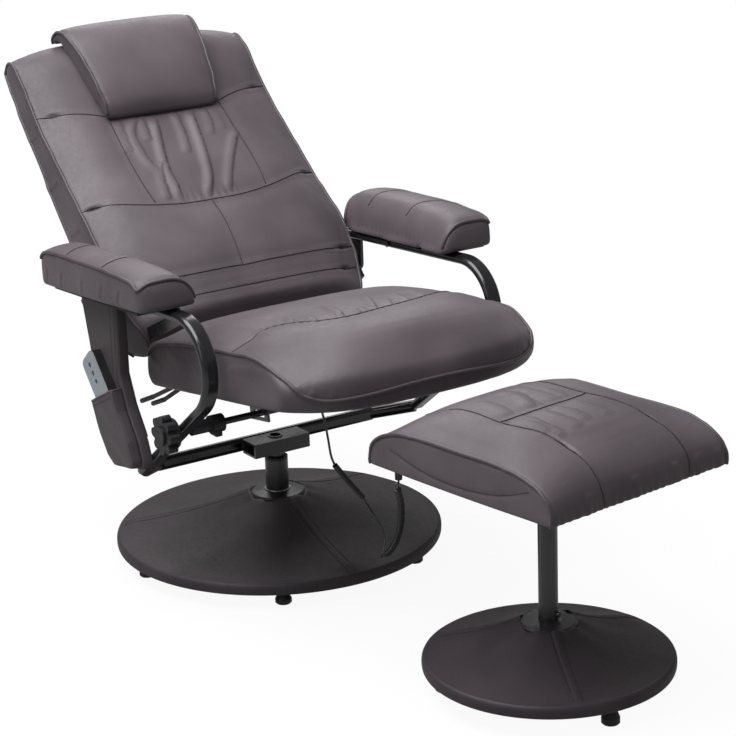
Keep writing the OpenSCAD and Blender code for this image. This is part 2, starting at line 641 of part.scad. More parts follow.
// Pocket on the side panel: a pouch in two steps, open above a slanting mouth.
pocket_wall = 2.5;
pocket_x = panel_x + panel_t;
pocket_in = handset_t + 2 * soft_gap;
pocket_step_share = 0.45;
pocket_edge = 3;
pocket_swell = 4;
mouth_rear = [60, 350];
mouth_front = [-140, 412];
module pouch(wall, depth) {
  x = pocket_x + soft_gap - wall;
  upright(x, pocket_step_share * depth + wall) polygon(panel_outline(pocket_edge + wall));
  upright(x, depth + wall) polygon(panel_outline(pocket_edge + pocket_swell + wall));
}
module handset_pocket() color("#4d4449") at_chair() mirror([1, 0, 0]) difference() {
  pouch(0, pocket_in + pocket_wall);
  pouch(pocket_wall, pocket_in);
  upright(pocket_x - overrun, pocket_in + pocket_wall + 2 * overrun) polygon([
    mouth_front, mouth_rear, [panel_rear + overrun, mouth_rear[1]],
    [panel_rear + overrun, panel_top + overrun], [mouth_front[0], panel_top + overrun]]);
}
handset_lean = 41;
handset_top = [52, 434];
handset_x = pocket_x + 2 * soft_gap;
face_t = 2;
button_travel = 0.8;
button_d = 9;
button_t = 1.6;
corner_r = 12;
button_place_shares = [["power", 0.84], ["massage", 0.7], ["heat", 0.56]];
// In the handset's own frame X is its thickness, Y its width and Z its length.
module in_handset() at_chair() mirror([1, 0, 0]) translate([handset_x, handset_top[0], handset_top[1]])
  rotate([-handset_lean, 0, 0]) translate([0, 0, -handset_l]) children();
module handset_blank(t) rotate([90, 0, 90]) linear_extrude(height = t) {
  translate([-handset_w / 2, corner_r]) square([handset_w, handset_l - 2 * corner_r]);
  translate([corner_r - handset_w / 2, 0]) square([handset_w - 2 * corner_r, handset_l]);
  for (x = [-1, 1], z = [corner_r, handset_l - corner_r])
    translate([x * (handset_w / 2 - corner_r), z]) circle(r = corner_r);
}
module button_bores(share, t, from_x) translate([from_x - overrun, 0, share * handset_l]) rotate([0, 90, 0])
  cylinder(d = button_d + 2 * hole_gap, h = t + 2 * overrun);
module handset_body() color("#131316") in_handset() difference() {
  handset_blank(handset_t - face_t);
  for (place = button_place_shares) button_bores(place[1], button_travel + face_t, handset_t - 2 * face_t);
}
module handset_face() color("silver") in_handset() difference() {
  translate([handset_t - face_t, 0, 0]) handset_blank(face_t);
  for (place = button_place_shares) button_bores(place[1], face_t, handset_t - face_t);
}
module button(i) in_handset() translate([handset_t - face_t, 0, button_place_shares[i][1] * handset_l])
  rotate([0, 90, 0]) cylinder(d = button_d, h = button_t);
module power_button() color("#8a8f94") button(0);
module massage_button() color("#8a8f94") button(1);
module heat_button() color("#8a8f94") button(2);

// Cross rod, its clamps and the lobed knobs
knob_gap = 2;
clamp_x = 228;
clamp_l = 24;
clamp_d = 32;
stub_end = tube_x - tube_w / 2;
rod_end_x = tube_x + tube_w / 2 + knob_gap + knob_t * 2 / 3;
module on_rod() at_chair() translate([0, rod_y, rod_z]) rotate([0, 90, 0]) children();
module cross_rod() color("#232326") on_rod() cylinder(d = rod_d, h = 2 * rod_end_x, center = true);
module rod_clamps() color("#17171a") at_chair() both_sides() translate([clamp_x, rod_y, rod_z])
  rotate([0, 90, 0]) difference() {
    union() {
      cylinder(d = clamp_d, h = clamp_l, center = true);
      translate([0, 0, clamp_l / 2]) cylinder(d = clamp_d * 3 / 4, h = stub_end - clamp_x - clamp_l / 2);
      translate([0, -clamp_d / 3, -clamp_l / 4]) cube([clamp_d * 2 / 3, clamp_d * 2 / 3, clamp_l / 2]);
    }
    cylinder(d = rod_d + 2 * fit_gap, h = 2 * (stub_end - clamp_x + overrun), center = true);
  }
knob_lobes = 8;
lobe_d = 17;
knob_hub_d = 34;
module knob() at_chair() translate([tube_x + tube_w / 2 + knob_gap, rod_y, rod_z]) rotate([0, 90, 0])
  difference() {
    union() {
      cylinder(d = knob_d - lobe_d, h = knob_t - lobe_d / 4);
      for (k = [0:knob_lobes - 1]) rotate([0, 0, 360 * k / knob_lobes])
        translate([(knob_d - lobe_d) / 2, 0, knob_t / 4]) cylinder(d = lobe_d, h = knob_t * 3 / 4 - lobe_d / 4);
      cylinder(d = knob_hub_d, h = knob_t);
    }
    translate([0, 0, -overrun]) cylinder(d = rod_d + 2 * fit_gap, h = knob_t * 2 / 3 + 2 * overrun);
    difference() {
      translate([0, 0, -overrun]) cylinder(d = knob_d - 2 * lobe_d, h = knob_t / 4 + overrun);
      translate([0, 0, -overrun]) cylinder(d = knob_hub_d - lobe_d / 2, h = knob_t / 4 + overrun);
    }
  }
module knob_right() color("#17171a") knob();
module knob_left() color("#17171a") mirror([1, 0, 0]) knob();

// Backrest, built upright in its own frame on its foot line: X across, -Y forward, Z along the back.
module in_back() at_chair() translate([0, back_foot_y, back_foot_z]) rotate([-back_lean, 0, 0]) children();
module about_pivot() at_chair() translate([0, pivot_y, pivot_z]) rotate([0, 90, 0]) children();
// Front edge from the foot up, over the top, and down the rear.
back_outline = [[0.062, -0.45, 0.7], [0.073, -0.3, 0.96], [0.088, -0.17, 1.24], [0.115, -0.1, 1.9],
  [0.17, -0.07, 1.6],
  [0.25, 0, 1.35], [0.34, 0.04, 1.1], [0.49, -0.08, 0.9], [0.68, -0.22, 0.6], [0.8, -0.26, 0.6],
  [0.92, -0.22, 0.6], [0.97, -0.26, 0.5], [0.995, -0.36, 0.2], [1.004, -0.5, 0], [0.985, -0.7, 0],
  [0.93, -0.8, 0], [0.23, -0.996, 0], [0.15, -0.98, 0], [0.095, -0.88, 0], [0.06, -0.6, 0]];
back_flare = -12;
back_pinch = 75;
back_taper = 2.2;
back_cut = 0.022;
back_board_foot = 150;
back_board_l = 480;
back_board_x = 232;
back_rear_share = 1.061;
// The board's frame: its rear face, which stands just proud of the cushion, is the plane of Y zero.
module on_back_board() in_back() translate([0, back_rear_share * back_depth + soft_gap, 0])
  rotate([back_taper, 0, 0]) children();
module back_panel(grow) translate([-back_board_x - grow, -pad_board_t - grow, back_board_foot - grow])
  cube([2 * back_board_x + 2 * grow, pad_board_t + 5 * grow, back_board_l + 2 * grow]);
module back_board() color("burlywood") on_back_board() back_panel(0);
back_motor_x = 115;
back_motor_shares = [0.33, 0.5, 0.67];
module at_back_motors() for (x = [-1, 1], share = back_motor_shares)
  translate([x * back_motor_x, -pad_board_t, share * back_l]) rotate([90, 0, 0]) children();
module back_motors() color("#2f6f73") on_back_board() at_back_motors() motor();
module back_cushion() color("#5b5257") difference() {
  in_back() rotate([90, 0, 0])
    cushion(back_outline, back_half_w, back_l, back_depth, back_crown, back_flare, back_cut, back_pinch);
  on_back_board() {
    back_panel(soft_gap);
    at_back_motors() motor_recess();
  }
}
pillow_foot = 526;
pillow_rear = 8.5;
pillow_flare = 35;
pillow_outline = [[0, 0, 0], [-0.01, 0.5, 0.1], [0.05, 1, 0.5], [0.2, 1, 0.9], [0.5, 1, 1], [0.8, 1, 0.9],
  [0.95, 0.95, 0.5], [1.01, 0.5, 0.1], [1, 0, 0]];
module head_pillow() color("#5b5257") in_back() translate([0, pillow_rear, pillow_foot]) rotate([90, 0, 0])
  cushion(pillow_outline, pillow_half_w, pillow_l, pillow_edge, pillow_crown, pillow_flare);
// Side brackets: angles with an eye on the pivot and a flange behind the board.
flange_in = 190;
flange_foot = 122;
flange_h = 96;
bracket_front = 56;
eye_r = 20;
module back_brackets() color("#1d1d20") both_sides() {
  difference() {
    union() {
      on_back_board() {
        translate([bracket_x, -bracket_front, flange_foot + plate_t])
          cube([bracket_t, bracket_front + plate_t, flange_h - 2 * plate_t]);
        translate([flange_in, 0, flange_foot])
          cube([bracket_x + bracket_t - flange_in, plate_t, flange_h]);
      }
      about_pivot() translate([0, 0, bracket_x]) cylinder(r = eye_r, h = bracket_t);
    }
    about_pivot() translate([0, 0, bracket_x - overrun])
      cylinder(d = pivot_d + 2 * fit_gap, h = bracket_t + 2 * overrun);
  }
}

// Seat, built level in its own frame: -Y forward, Z from its underside.
seat_rear_z = 369;
module in_seat() at_chair() translate([0, 0, seat_rear_z]) rotate([-seat_tilt, 0, 0]) children();
seat_outline = [[0.03, 0, 0], [-0.01, 0.2, 0], [-0.01, 0.6, 0], [0.005, 0.78, 0.1], [0.03, 0.88, 0.4],
  [0.28, 0.98, 1], [0.544, 1, 1], [0.707, 1, 1], [0.862, 0.89, 0.8], [0.95, 0.66, 0.5],
  [0.995, 0.42, 0.3], [0.99, 0.2, 0], [0.965, 0, 0]];
seat_cut = 0.14;
seat_board_y = 30;
seat_board_l = 430;
seat_board_x = 238;
module seat_panel(grow) translate([-seat_board_x - grow, -seat_board_y - seat_board_l - grow, -4 * grow])
  cube([2 * seat_board_x + 2 * grow, seat_board_l + 2 * grow, pad_board_t + 5 * grow]);
module seat_board() color("burlywood") in_seat() seat_panel(0);
seat_motor_x = 115;
seat_motor_y = 290;
module at_seat_motors() for (x = [-1, 1]) translate([x * seat_motor_x, -seat_motor_y, pad_board_t]) children();
module seat_motors() color("#2f6f73") in_seat() at_seat_motors() motor();
module seat_cushion() color("#5b5257") in_seat() difference() {
  rotate([0, 0, 180]) cushion(seat_outline, seat_half_w, seat_l, seat_side_h, seat_crown, 0, seat_cut);
  seat_panel(soft_gap);
  at_seat_motors() motor_recess();
}
// Slotted hangers under the seat ride on the cross rod.
hanger_x = 140;
hanger_t = 4;
hanger_w = 40;
rod_s = -(rod_y * cos(seat_tilt) - (rod_z - seat_rear_z) * sin(seat_tilt));
rod_h = rod_y * sin(seat_tilt) + (rod_z - seat_rear_z) * cos(seat_tilt);
module seat_brackets() color("#1d1d20") in_seat() both_sides() {
  slot_d = rod_d + 2 * hole_gap;
  length = seat_travel + 3 * rod_d;
  rear = -rod_s - seat_out - rod_d * 3 / 2;
  difference() {
    union() {
      translate([hanger_x, rear, rod_h - rod_d]) cube([hanger_t, length, -rod_h + rod_d]);
      translate([hanger_x, rear, -hanger_t]) cube([hanger_w, length, hanger_t]);
    }
    for (y = [-seat_out, seat_travel - seat_out])
      translate([hanger_x - overrun, -rod_s + y, rod_h]) rotate([0, 90, 0])
        cylinder(d = slot_d, h = hanger_t + 2 * overrun);
    translate([hanger_x - overrun, -rod_s - seat_out, rod_h - slot_d / 2])
      cube([hanger_t + 2 * overrun, seat_travel, slot_d]);
  }
}
gland_top_z = seat_rear_z - seat_lead_route[0].y * tan(seat_tilt);
module over_seat_plane() translate([0, 0, seat_rear_z]) rotate([-seat_tilt, 0, 0])
  translate([-seat_half_w, -seat_l, 0]) cube([2 * seat_half_w, seat_l, 2 * gland_d]);
module seat_cord_gland() color("#161618") at_chair() difference() {
  translate(seat_lead_route[0]) cylinder(d = gland_d, h = gland_top_z - seat_lead_route[0].z + gland_d);
  over_seat_plane();
}

// In-line connectors that hang under the rear of the seat, with their leads.
connector_d = 9;
connector_ends = [[[-236, -60, 381], [-238, 20, 342], [-240, 62, 324]],
  [[-222, -72, 383], [-224, 4, 338], [-226, 46, 320]]];
module back_connectors() color("#161618") at_chair() difference() {
  for (route = connector_ends) {
    between(route[0], route[1], lead_d * 2);
    between(route[1], route[2], connector_d);
  }
  over_seat_plane();
}

base_board();
base_spider();
base_cover();
base_glides();
column_sleeve();
column_bushes();
thrust_bearing();
hub_cap();
retaining_ring();
ottoman_base_board();
ottoman_spider();
ottoman_base_cover();
ottoman_glides();
ottoman_post();
ottoman_hub_cap();
ottoman_post_screw();
ottoman_top_plate();
ottoman_seat_board();
ottoman_cushion();
ottoman_motors();
ottoman_cord_gland();
lead_plug();
ottoman_lead();
curly_cord();
swivel_shaft();
swivel_plate();
crossbar();
side_tube_left();
side_tube_right();
pivot_hangers();
side_panel();
handset_pocket();
arm_boards();
arm_pad_left();
arm_pad_right();
left_stay();
frame_bolts();
pivot_bolts();
cross_rod();
rod_clamps();
seat_cord_gland();
seat_lead();
lead_socket();
back_board();
back_brackets();
back_cushion();
head_pillow();
back_motors();
seat_board();
seat_brackets();
seat_cushion();
seat_motors();
back_connectors();
knob_left();
knob_right();
handset_body();
handset_face();
power_button();
massage_button();
heat_button();
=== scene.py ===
import math
import bpy
import bmesh
import numpy as np
from mathutils import Matrix, Vector
from mathutils.bvhtree import BVHTree


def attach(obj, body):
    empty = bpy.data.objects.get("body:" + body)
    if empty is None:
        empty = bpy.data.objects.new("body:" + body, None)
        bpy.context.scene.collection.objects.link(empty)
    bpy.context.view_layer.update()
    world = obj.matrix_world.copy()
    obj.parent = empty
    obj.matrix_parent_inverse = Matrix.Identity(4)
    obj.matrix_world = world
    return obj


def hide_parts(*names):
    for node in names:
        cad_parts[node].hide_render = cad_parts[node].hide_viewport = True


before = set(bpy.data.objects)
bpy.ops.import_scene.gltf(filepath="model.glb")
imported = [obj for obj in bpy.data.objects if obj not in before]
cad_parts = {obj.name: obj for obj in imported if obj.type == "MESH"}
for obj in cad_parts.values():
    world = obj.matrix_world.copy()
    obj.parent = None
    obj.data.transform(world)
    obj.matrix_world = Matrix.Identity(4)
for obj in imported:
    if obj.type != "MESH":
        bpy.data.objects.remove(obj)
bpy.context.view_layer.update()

bl_info = {
    "name": "Swivel recliner and ottoman",
    "version": (1, 0, 0),
    "blender": (4, 5, 0),
    "location": "View3D > Sidebar > Recliner",
    "description": "Dresses the frame of a swivel recliner and its ottoman in padded covers, cords and "
                   "finishes",
    "category": "Object",
}

MM = 0.001
# The chair's axis, behind the middle of the whole set.
CHAIR_Y = 0.239615

# Settings


class UpholsterySettings(bpy.types.PropertyGroup):
    cover_color: bpy.props.StringProperty(
        name="Cover colour", description="sRGB hex of the coated cover at its middle tone", default="5b5257")
    cover_dark: bpy.props.StringProperty(
        name="Cover colour, low", description="sRGB hex of the cover where the dye is deepest",
        default="4c4449")
    grain: bpy.props.FloatProperty(
        name="Grain", description="Size of one pebble of the embossed grain", default=0.0016, min=0.0005,
        max=0.004, subtype="DISTANCE", unit="LENGTH")
    piping_radius: bpy.props.FloatProperty(
        name="Piping radius", description="Radius of the corded edge of a cushion", default=0.0032,
        min=0.001, max=0.006, subtype="DISTANCE", unit="LENGTH")
    seam_width: bpy.props.FloatProperty(
        name="Seam width", description="Half width of a sewn groove", default=0.0032, min=0.001, max=0.01,
        subtype="DISTANCE", unit="LENGTH")
    fill_pressure: bpy.props.FloatProperty(
        name="Fill pressure", description="Pressure of the filling in the cloth simulation", default=4.0,
        min=0.5, max=10.0)
    sim_voxel: bpy.props.FloatProperty(
        name="Simulation voxel", description="Size of a face while the cover is simulated", default=0.0065,
        min=0.004, max=0.02, subtype="DISTANCE", unit="LENGTH")
    fine_voxel: bpy.props.FloatProperty(
        name="Fine voxel", description="Size of a face once the seams are sewn", default=0.0028,
        min=0.002, max=0.01, subtype="DISTANCE", unit="LENGTH")


class MetalworkSettings(bpy.types.PropertyGroup):
    paint_color: bpy.props.StringProperty(
        name="Paint colour", description="sRGB hex of the black enamel on the steel", default="1a1a1d")
    plastic_color: bpy.props.StringProperty(
        name="Plastic colour", description="sRGB hex of the moulded black plastic", default="17171a")


class CordSettings(bpy.types.PropertyGroup):
    lead_diameter: bpy.props.FloatProperty(
        name="Lead diameter", description="Diameter of the plain lead", default=0.004, min=0.002, max=0.006,
        subtype="DISTANCE", unit="LENGTH")
    coil_radius: bpy.props.FloatProperty(
        name="Coil radius", description="Radius of the curly cord at the middle of its wire", default=0.0048,
        min=0.003, max=0.006, subtype="DISTANCE", unit="LENGTH")
    coil_pitch: bpy.props.FloatProperty(
        name="Coil pitch", description="Distance from one turn of the curly cord to the next",
        default=0.0052, min=0.0045, max=0.01, subtype="DISTANCE", unit="LENGTH")


class StageSettings(bpy.types.PropertyGroup):
    lens: bpy.props.FloatProperty(
        name="Lens", description="Focal length on a 36 mm wide sensor", default=112.5, min=20, max=300)
    world_light: bpy.props.FloatProperty(
        name="World light", description="Strength of the even light from all round", default=0.24, min=0,
        max=2)
    key_light: bpy.props.FloatProperty(
        name="Key light", description="Power of the large lamp over the chair", default=150,
        min=0, max=500, subtype="POWER", unit="POWER")


# Materials

# Rubbed crowns of the cover, painted shade in the bottoms of its folds and seams, and the steel's worn edges.
WORN_CROWN, PAINTED_FOLD_SHADE, WORN_EDGE = "827880", "221d20", "4a4a4e"


def hex_linear(code, alpha=1.0):
    """An sRGB hex colour as linear RGBA."""
    channels = [int(code[i:i + 2], 16) / 255 for i in (0, 2, 4)]
    return tuple(c / 12.92 if c <= 0.04045 else ((c + 0.055) / 1.055) ** 2.4 for c in channels) + (alpha,)


def add(tree, kind, inputs=(), **settings):
    """Adds a node, sets its settings, and sets or links its inputs."""
    made = tree.nodes.new(kind)
    for key, value in settings.items():
        setattr(made, key, value)
    for key, value in dict(inputs).items():
        if isinstance(value, bpy.types.NodeSocket):
            tree.links.new(value, made.inputs[key])
        else:
            made.inputs[key].default_value = value
    return made


def new_material(name):
    mat = bpy.data.materials.new(name)
    mat.use_nodes = True
    mat.node_tree.nodes.clear()
    return mat, mat.node_tree


def finish_material(tree, shader):
    add(tree, "ShaderNodeOutputMaterial", {"Surface": shader.outputs["BSDF"]})


def coated_cover(name, base, low, grain, roughness=0.47, depth=0.00035, pale=0.12, sheen=0.08):
    """Polyurethane-coated fabric, embossed with a pebble grain: satin, with soft creases between the pebbles,
    a slow change of tone over a hand's width, paler crowns where it is rubbed, and painted shade in its
    hollows."""
    mat, tree = new_material(name)
    place = add(tree, "ShaderNodeTexCoord").outputs["Object"]
    pebble = add(tree, "ShaderNodeTexVoronoi", {"Vector": place, "Scale": 1 / grain, "Randomness": 0.9},
                 feature="SMOOTH_F1")
    crease = add(tree, "ShaderNodeTexNoise", {"Vector": place, "Scale": 1 / (grain * 4), "Detail": 4.0,
                                              "Roughness": 0.6})
    slow = add(tree, "ShaderNodeTexNoise", {"Vector": place, "Scale": 1 / 0.11, "Detail": 2.0})
    pull = add(tree, "ShaderNodeTexNoise", {"Vector": place, "Scale": 1 / 0.035, "Detail": 3.0,
                                            "Distortion": 0.6})
    tone = add(tree, "ShaderNodeMapRange", {"Value": slow.outputs["Fac"], "From Min": 0.3, "From Max": 0.7})
    colour = add(tree, "ShaderNodeMix", data_type="RGBA")
    tree.links.new(tone.outputs["Result"], colour.inputs["Factor"])
    colour.inputs[6].default_value = hex_linear(low)
    colour.inputs[7].default_value = hex_linear(base)
    relief = add(tree, "ShaderNodeNewGeometry").outputs["Pointiness"]
    edge = add(tree, "ShaderNodeMapRange", {"Value": relief, "From Min": 0.52, "From Max": 0.62,
                                            "To Max": pale})
    worn = add(tree, "ShaderNodeMix", data_type="RGBA")
    tree.links.new(edge.outputs["Result"], worn.inputs["Factor"])
    tree.links.new(colour.outputs[2], worn.inputs[6])
    worn.inputs[7].default_value = hex_linear(WORN_CROWN)
    # Painted shade: where the surface is hollow, at the bottoms of folds and seams, the colour is darkened
    # towards near-black.
    fold = add(tree, "ShaderNodeMapRange", {"Value": relief, "From Min": 0.42, "From Max": 0.492,
                                            "To Min": 0.7, "To Max": 0.0})
    fold_shade = add(tree, "ShaderNodeMix", data_type="RGBA")
    tree.links.new(fold.outputs["Result"], fold_shade.inputs["Factor"])
    tree.links.new(worn.outputs[2], fold_shade.inputs[6])
    fold_shade.inputs[7].default_value = hex_linear(PAINTED_FOLD_SHADE)
    rough = add(tree, "ShaderNodeMapRange", {"Value": crease.outputs["Fac"], "From Min": 0.3, "From Max": 0.7,
                                             "To Min": roughness - 0.06, "To Max": roughness + 0.08})
    first = add(tree, "ShaderNodeBump", {"Height": pull.outputs["Fac"], "Strength": 0.12, "Distance": 0.0015})
    second = add(tree, "ShaderNodeBump", {"Height": crease.outputs["Fac"], "Strength": 0.35,
                                          "Distance": depth * 1.5, "Normal": first.outputs["Normal"]})
    third = add(tree, "ShaderNodeBump", {"Height": pebble.outputs["Distance"], "Strength": 0.5,
                                         "Distance": depth, "Normal": second.outputs["Normal"]})
    shader = add(tree, "ShaderNodeBsdfPrincipled", {
        "Base Color": fold_shade.outputs[2], "Roughness": rough.outputs["Result"],
        "Normal": third.outputs["Normal"], "IOR": 1.42, "Sheen Weight": sheen, "Sheen Roughness": 0.4})
    finish_material(tree, shader)
    return mat


def enamelled_steel(name, base, roughness=0.2):
    """Steel with a baked black enamel: a dark, smooth film with a faint orange peel and small scuffs."""
    mat, tree = new_material(name)
    place = add(tree, "ShaderNodeTexCoord").outputs["Object"]
    peel = add(tree, "ShaderNodeTexNoise", {"Vector": place, "Scale": 1 / 0.0025, "Detail": 2.0})
    scuff = add(tree, "ShaderNodeTexNoise", {"Vector": place, "Scale": 1 / 0.03, "Detail": 6.0,
                                             "Roughness": 0.7})
    rough = add(tree, "ShaderNodeMapRange", {"Value": scuff.outputs["Fac"], "From Min": 0.35,
                                             "From Max": 0.75, "To Min": roughness - 0.04,
                                             "To Max": roughness + 0.14})
    edge = add(tree, "ShaderNodeMapRange", {"Value": add(tree, "ShaderNodeNewGeometry").outputs["Pointiness"],
                                            "From Min": 0.53, "From Max": 0.66, "To Max": 0.3})
    colour = add(tree, "ShaderNodeMix", data_type="RGBA")
    tree.links.new(edge.outputs["Result"], colour.inputs["Factor"])
    colour.inputs[6].default_value = hex_linear(base)
    colour.inputs[7].default_value = hex_linear(WORN_EDGE)
    bump = add(tree, "ShaderNodeBump", {"Height": peel.outputs["Fac"], "Strength": 0.05, "Distance": 0.0003})
    shader = add(tree, "ShaderNodeBsdfPrincipled", {
        "Base Color": colour.outputs[2], "Roughness": rough.outputs["Result"],
        "Normal": bump.outputs["Normal"], "IOR": 1.5, "Coat Weight": 0.35, "Coat Roughness": 0.18})
    finish_material(tree, shader)
    return mat


def moulded_plastic(name, base, roughness=0.45, texture=0.0008, strength=0.25):
    """Injection-moulded ABS from a spark-eroded mould: an even fine texture and a soft shine."""
    mat, tree = new_material(name)
    place = add(tree, "ShaderNodeTexCoord").outputs["Object"]
    spark = add(tree, "ShaderNodeTexNoise", {"Vector": place, "Scale": 1 / texture, "Detail": 3.0})
    cloud = add(tree, "ShaderNodeTexNoise", {"Vector": place, "Scale": 1 / 0.02, "Detail": 3.0})
    rough = add(tree, "ShaderNodeMapRange", {"Value": cloud.outputs["Fac"], "From Min": 0.3, "From Max": 0.7,
                                             "To Min": roughness - 0.07, "To Max": roughness + 0.09})
    bump = add(tree, "ShaderNodeBump", {"Height": spark.outputs["Fac"], "Strength": strength,
                                        "Distance": texture * 0.25})
    shader = add(tree, "ShaderNodeBsdfPrincipled", {
        "Base Color": hex_linear(base), "Roughness": rough.outputs["Result"],
        "Normal": bump.outputs["Normal"], "IOR": 1.5})
    finish_material(tree, shader)
    return mat


def plated_steel(name):
    """Zinc-plated wire and races: bright, with fine drawing lines and a cloudy passivation."""
    mat, tree = new_material(name)
    place = add(tree, "ShaderNodeTexCoord").outputs["Object"]
    lines = add(tree, "ShaderNodeTexNoise", {"Vector": place, "Scale": 1 / 0.0009, "Detail": 2.0})
    cloud = add(tree, "ShaderNodeTexNoise", {"Vector": place, "Scale": 1 / 0.015, "Detail": 3.0})
    rough = add(tree, "ShaderNodeMapRange", {"Value": cloud.outputs["Fac"], "From Min": 0.3, "From Max": 0.7,
                                             "To Min": 0.22, "To Max": 0.4})
    bump = add(tree, "ShaderNodeBump", {"Height": lines.outputs["Fac"], "Strength": 0.15,
                                        "Distance": 0.0001})
    shader = add(tree, "ShaderNodeBsdfPrincipled", {
        "Base Color": hex_linear("c3c6ca"), "Metallic": 1.0, "Roughness": rough.outputs["Result"],
        "Normal": bump.outputs["Normal"]})
    finish_material(tree, shader)
    return mat


def pressed_board(name, base="a8855c", low="7c5f3f"):
    """Particle board, pressed from chips: pale and dark flakes of a few millimetres under a light seal."""
    mat, tree = new_material(name)
    place = add(tree, "ShaderNodeTexCoord").outputs["Object"]
    flakes = add(tree, "ShaderNodeTexVoronoi", {"Vector": place, "Scale": 1 / 0.005})
    shade = add(tree, "ShaderNodeSeparateColor", {"Color": flakes.outputs["Color"]})
    colour = add(tree, "ShaderNodeMix", data_type="RGBA")
    tree.links.new(shade.outputs["Red"], colour.inputs["Factor"])
    colour.inputs[6].default_value = hex_linear(low)
    colour.inputs[7].default_value = hex_linear(base)
    bump = add(tree, "ShaderNodeBump", {"Height": flakes.outputs["Distance"], "Strength": 0.3,
                                        "Distance": 0.0004})
    shader = add(tree, "ShaderNodeBsdfPrincipled", {
        "Base Color": colour.outputs[2], "Roughness": 0.7, "Normal": bump.outputs["Normal"]})
    finish_material(tree, shader)
    return mat


def dust_cloth(name, base="1c1b1d"):
    """Spun-bonded non-woven cloth over the boards: black, dull, with pressed dots 1.5 mm apart."""
    mat, tree = new_material(name)
    place = add(tree, "ShaderNodeTexCoord").outputs["Object"]
    dots = add(tree, "ShaderNodeTexVoronoi", {"Vector": place, "Scale": 1 / 0.0015, "Randomness": 0.15})
    fibre = add(tree, "ShaderNodeTexNoise", {"Vector": place, "Scale": 1 / 0.0009, "Detail": 4.0})
    first = add(tree, "ShaderNodeBump", {"Height": dots.outputs["Distance"], "Strength": 0.4,
                                         "Distance": 0.0003})
    second = add(tree, "ShaderNodeBump", {"Height": fibre.outputs["Fac"], "Strength": 0.3,
                                          "Distance": 0.0002, "Normal": first.outputs["Normal"]})
    shader = add(tree, "ShaderNodeBsdfPrincipled", {
        "Base Color": hex_linear(base), "Roughness": 0.9, "Normal": second.outputs["Normal"],
        "Sheen Weight": 0.2, "Sheen Roughness": 0.5})
    finish_material(tree, shader)
    return mat


def rubber_sheath(name, base="141416"):
    """Soft PVC sheath of a cord, extruded: dark and satin, with slow waves from the extruder."""
    mat, tree = new_material(name)
    place = add(tree, "ShaderNodeTexCoord").outputs["Object"]
    wave = add(tree, "ShaderNodeTexNoise", {"Vector": place, "Scale": 1 / 0.004, "Detail": 2.0})
    bump = add(tree, "ShaderNodeBump", {"Height": wave.outputs["Fac"], "Strength": 0.2, "Distance": 0.0003})
    shader = add(tree, "ShaderNodeBsdfPrincipled", {
        "Base Color": hex_linear(base), "Roughness": 0.3, "Normal": bump.outputs["Normal"], "IOR": 1.5})
    finish_material(tree, shader)
    return mat


MATERIALS = {}


def make_materials(up, metal):
    MATERIALS.update(
        cover=coated_cover("Coated upholstery fabric, pebble grain", up.cover_color, up.cover_dark, up.grain),
        wrap=coated_cover("Coated fabric wrapped on board", "4b4448", "3c3539", up.grain, roughness=0.54),
        tent=coated_cover("Coated fabric drawn over the base", "3d353a", "312a2f", up.grain, roughness=0.55,
                          sheen=0.0),
        piping=coated_cover("Coated piping, drawn tight", "4f474b", "3e373b", up.grain * 0.8,
                            roughness=0.4, depth=0.0002, pale=0.1),
        # Near-black thread: real stitches on the side panel, pocket and bases, and also a painted shade line
        # laid in the bottoms of the cushions' seams.
        thread=moulded_plastic("Bonded nylon sewing thread, also painted seam shade", "231f22", roughness=0.6, texture=0.0006),
        paint=enamelled_steel("Black enamelled steel", metal.paint_color),
        plastic=moulded_plastic("Black moulded ABS", metal.plastic_color),
        hub=moulded_plastic("Dark grey moulded hub cap", "2d292c", roughness=0.34),
        sheath=rubber_sheath("Black PVC cord sheath"),
        plated=plated_steel("Zinc-plated steel"),
        board=pressed_board("Particle board"),
        dust=dust_cloth("Black spun-bonded dust cloth"),
        silver=moulded_plastic("Silver-painted handset face", "8f979e", roughness=0.3, texture=0.0012,
                               strength=0.12),
        button=moulded_plastic("Grey button rubber", "3c4146", roughness=0.5),
        motor=moulded_plastic("Grey-green motor case", "2f6f73", roughness=0.5))


# Mesh tools


def smooth_line(points, per_span=6):
    """Catmull-Rom points through the given ones."""
    p = [Vector(q) for q in points]
    out = []
    for i in range(len(p) - 1):
        a = p[i - 1] if i > 0 else p[0] * 2 - p[1]
        b, c = p[i], p[i + 1]
        d = p[i + 2] if i + 2 < len(p) else p[-1] * 2 - p[-2]
        for k in range(per_span):
            t = k / per_span
            out.append(0.5 * ((2 * b) + (c - a) * t + (2 * a - 5 * b + 4 * c - d) * t * t
                              + (3 * b - a - 3 * c + d) * t ** 3))
    out.append(p[-1].copy())
    return out


def even_line(points, step):
    """The same line with points a fixed distance apart."""
    out = [Vector(points[0])]
    carry = 0.0
    for a, b in zip(points, points[1:]):
        a, b = Vector(a), Vector(b)
        length = (b - a).length
        if length == 0:
            continue
        at = step - carry
        while at <= length:
            out.append(a.lerp(b, at / length))
            at += step
        carry = length - (at - step)
    if (out[-1] - Vector(points[-1])).length > step * 0.3:
        out.append(Vector(points[-1]))
    return out


def eased(points, passes):
    """The line with each inner point drawn towards its neighbours a number of times."""
    for _ in range(passes):
        inner = [(a + b * 2 + c) / 4 for a, b, c in zip(points, points[1:], points[2:])]
        points = [points[0]] + inner + [points[-1]]
    return points


def line_length(points):
    return sum((Vector(b) - Vector(a)).length for a, b in zip(points, points[1:]))


def link(name, mesh, material, body):
    """Puts a mesh into the scene as a piece that rides on a CAD body."""
    obj = bpy.data.objects.new(name, mesh)
    bpy.context.scene.collection.objects.link(obj)
    mesh.materials.clear()
    mesh.materials.append(material)
    mesh.polygons.foreach_set("use_smooth", [True] * len(mesh.polygons))
    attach(obj, body)
    return obj


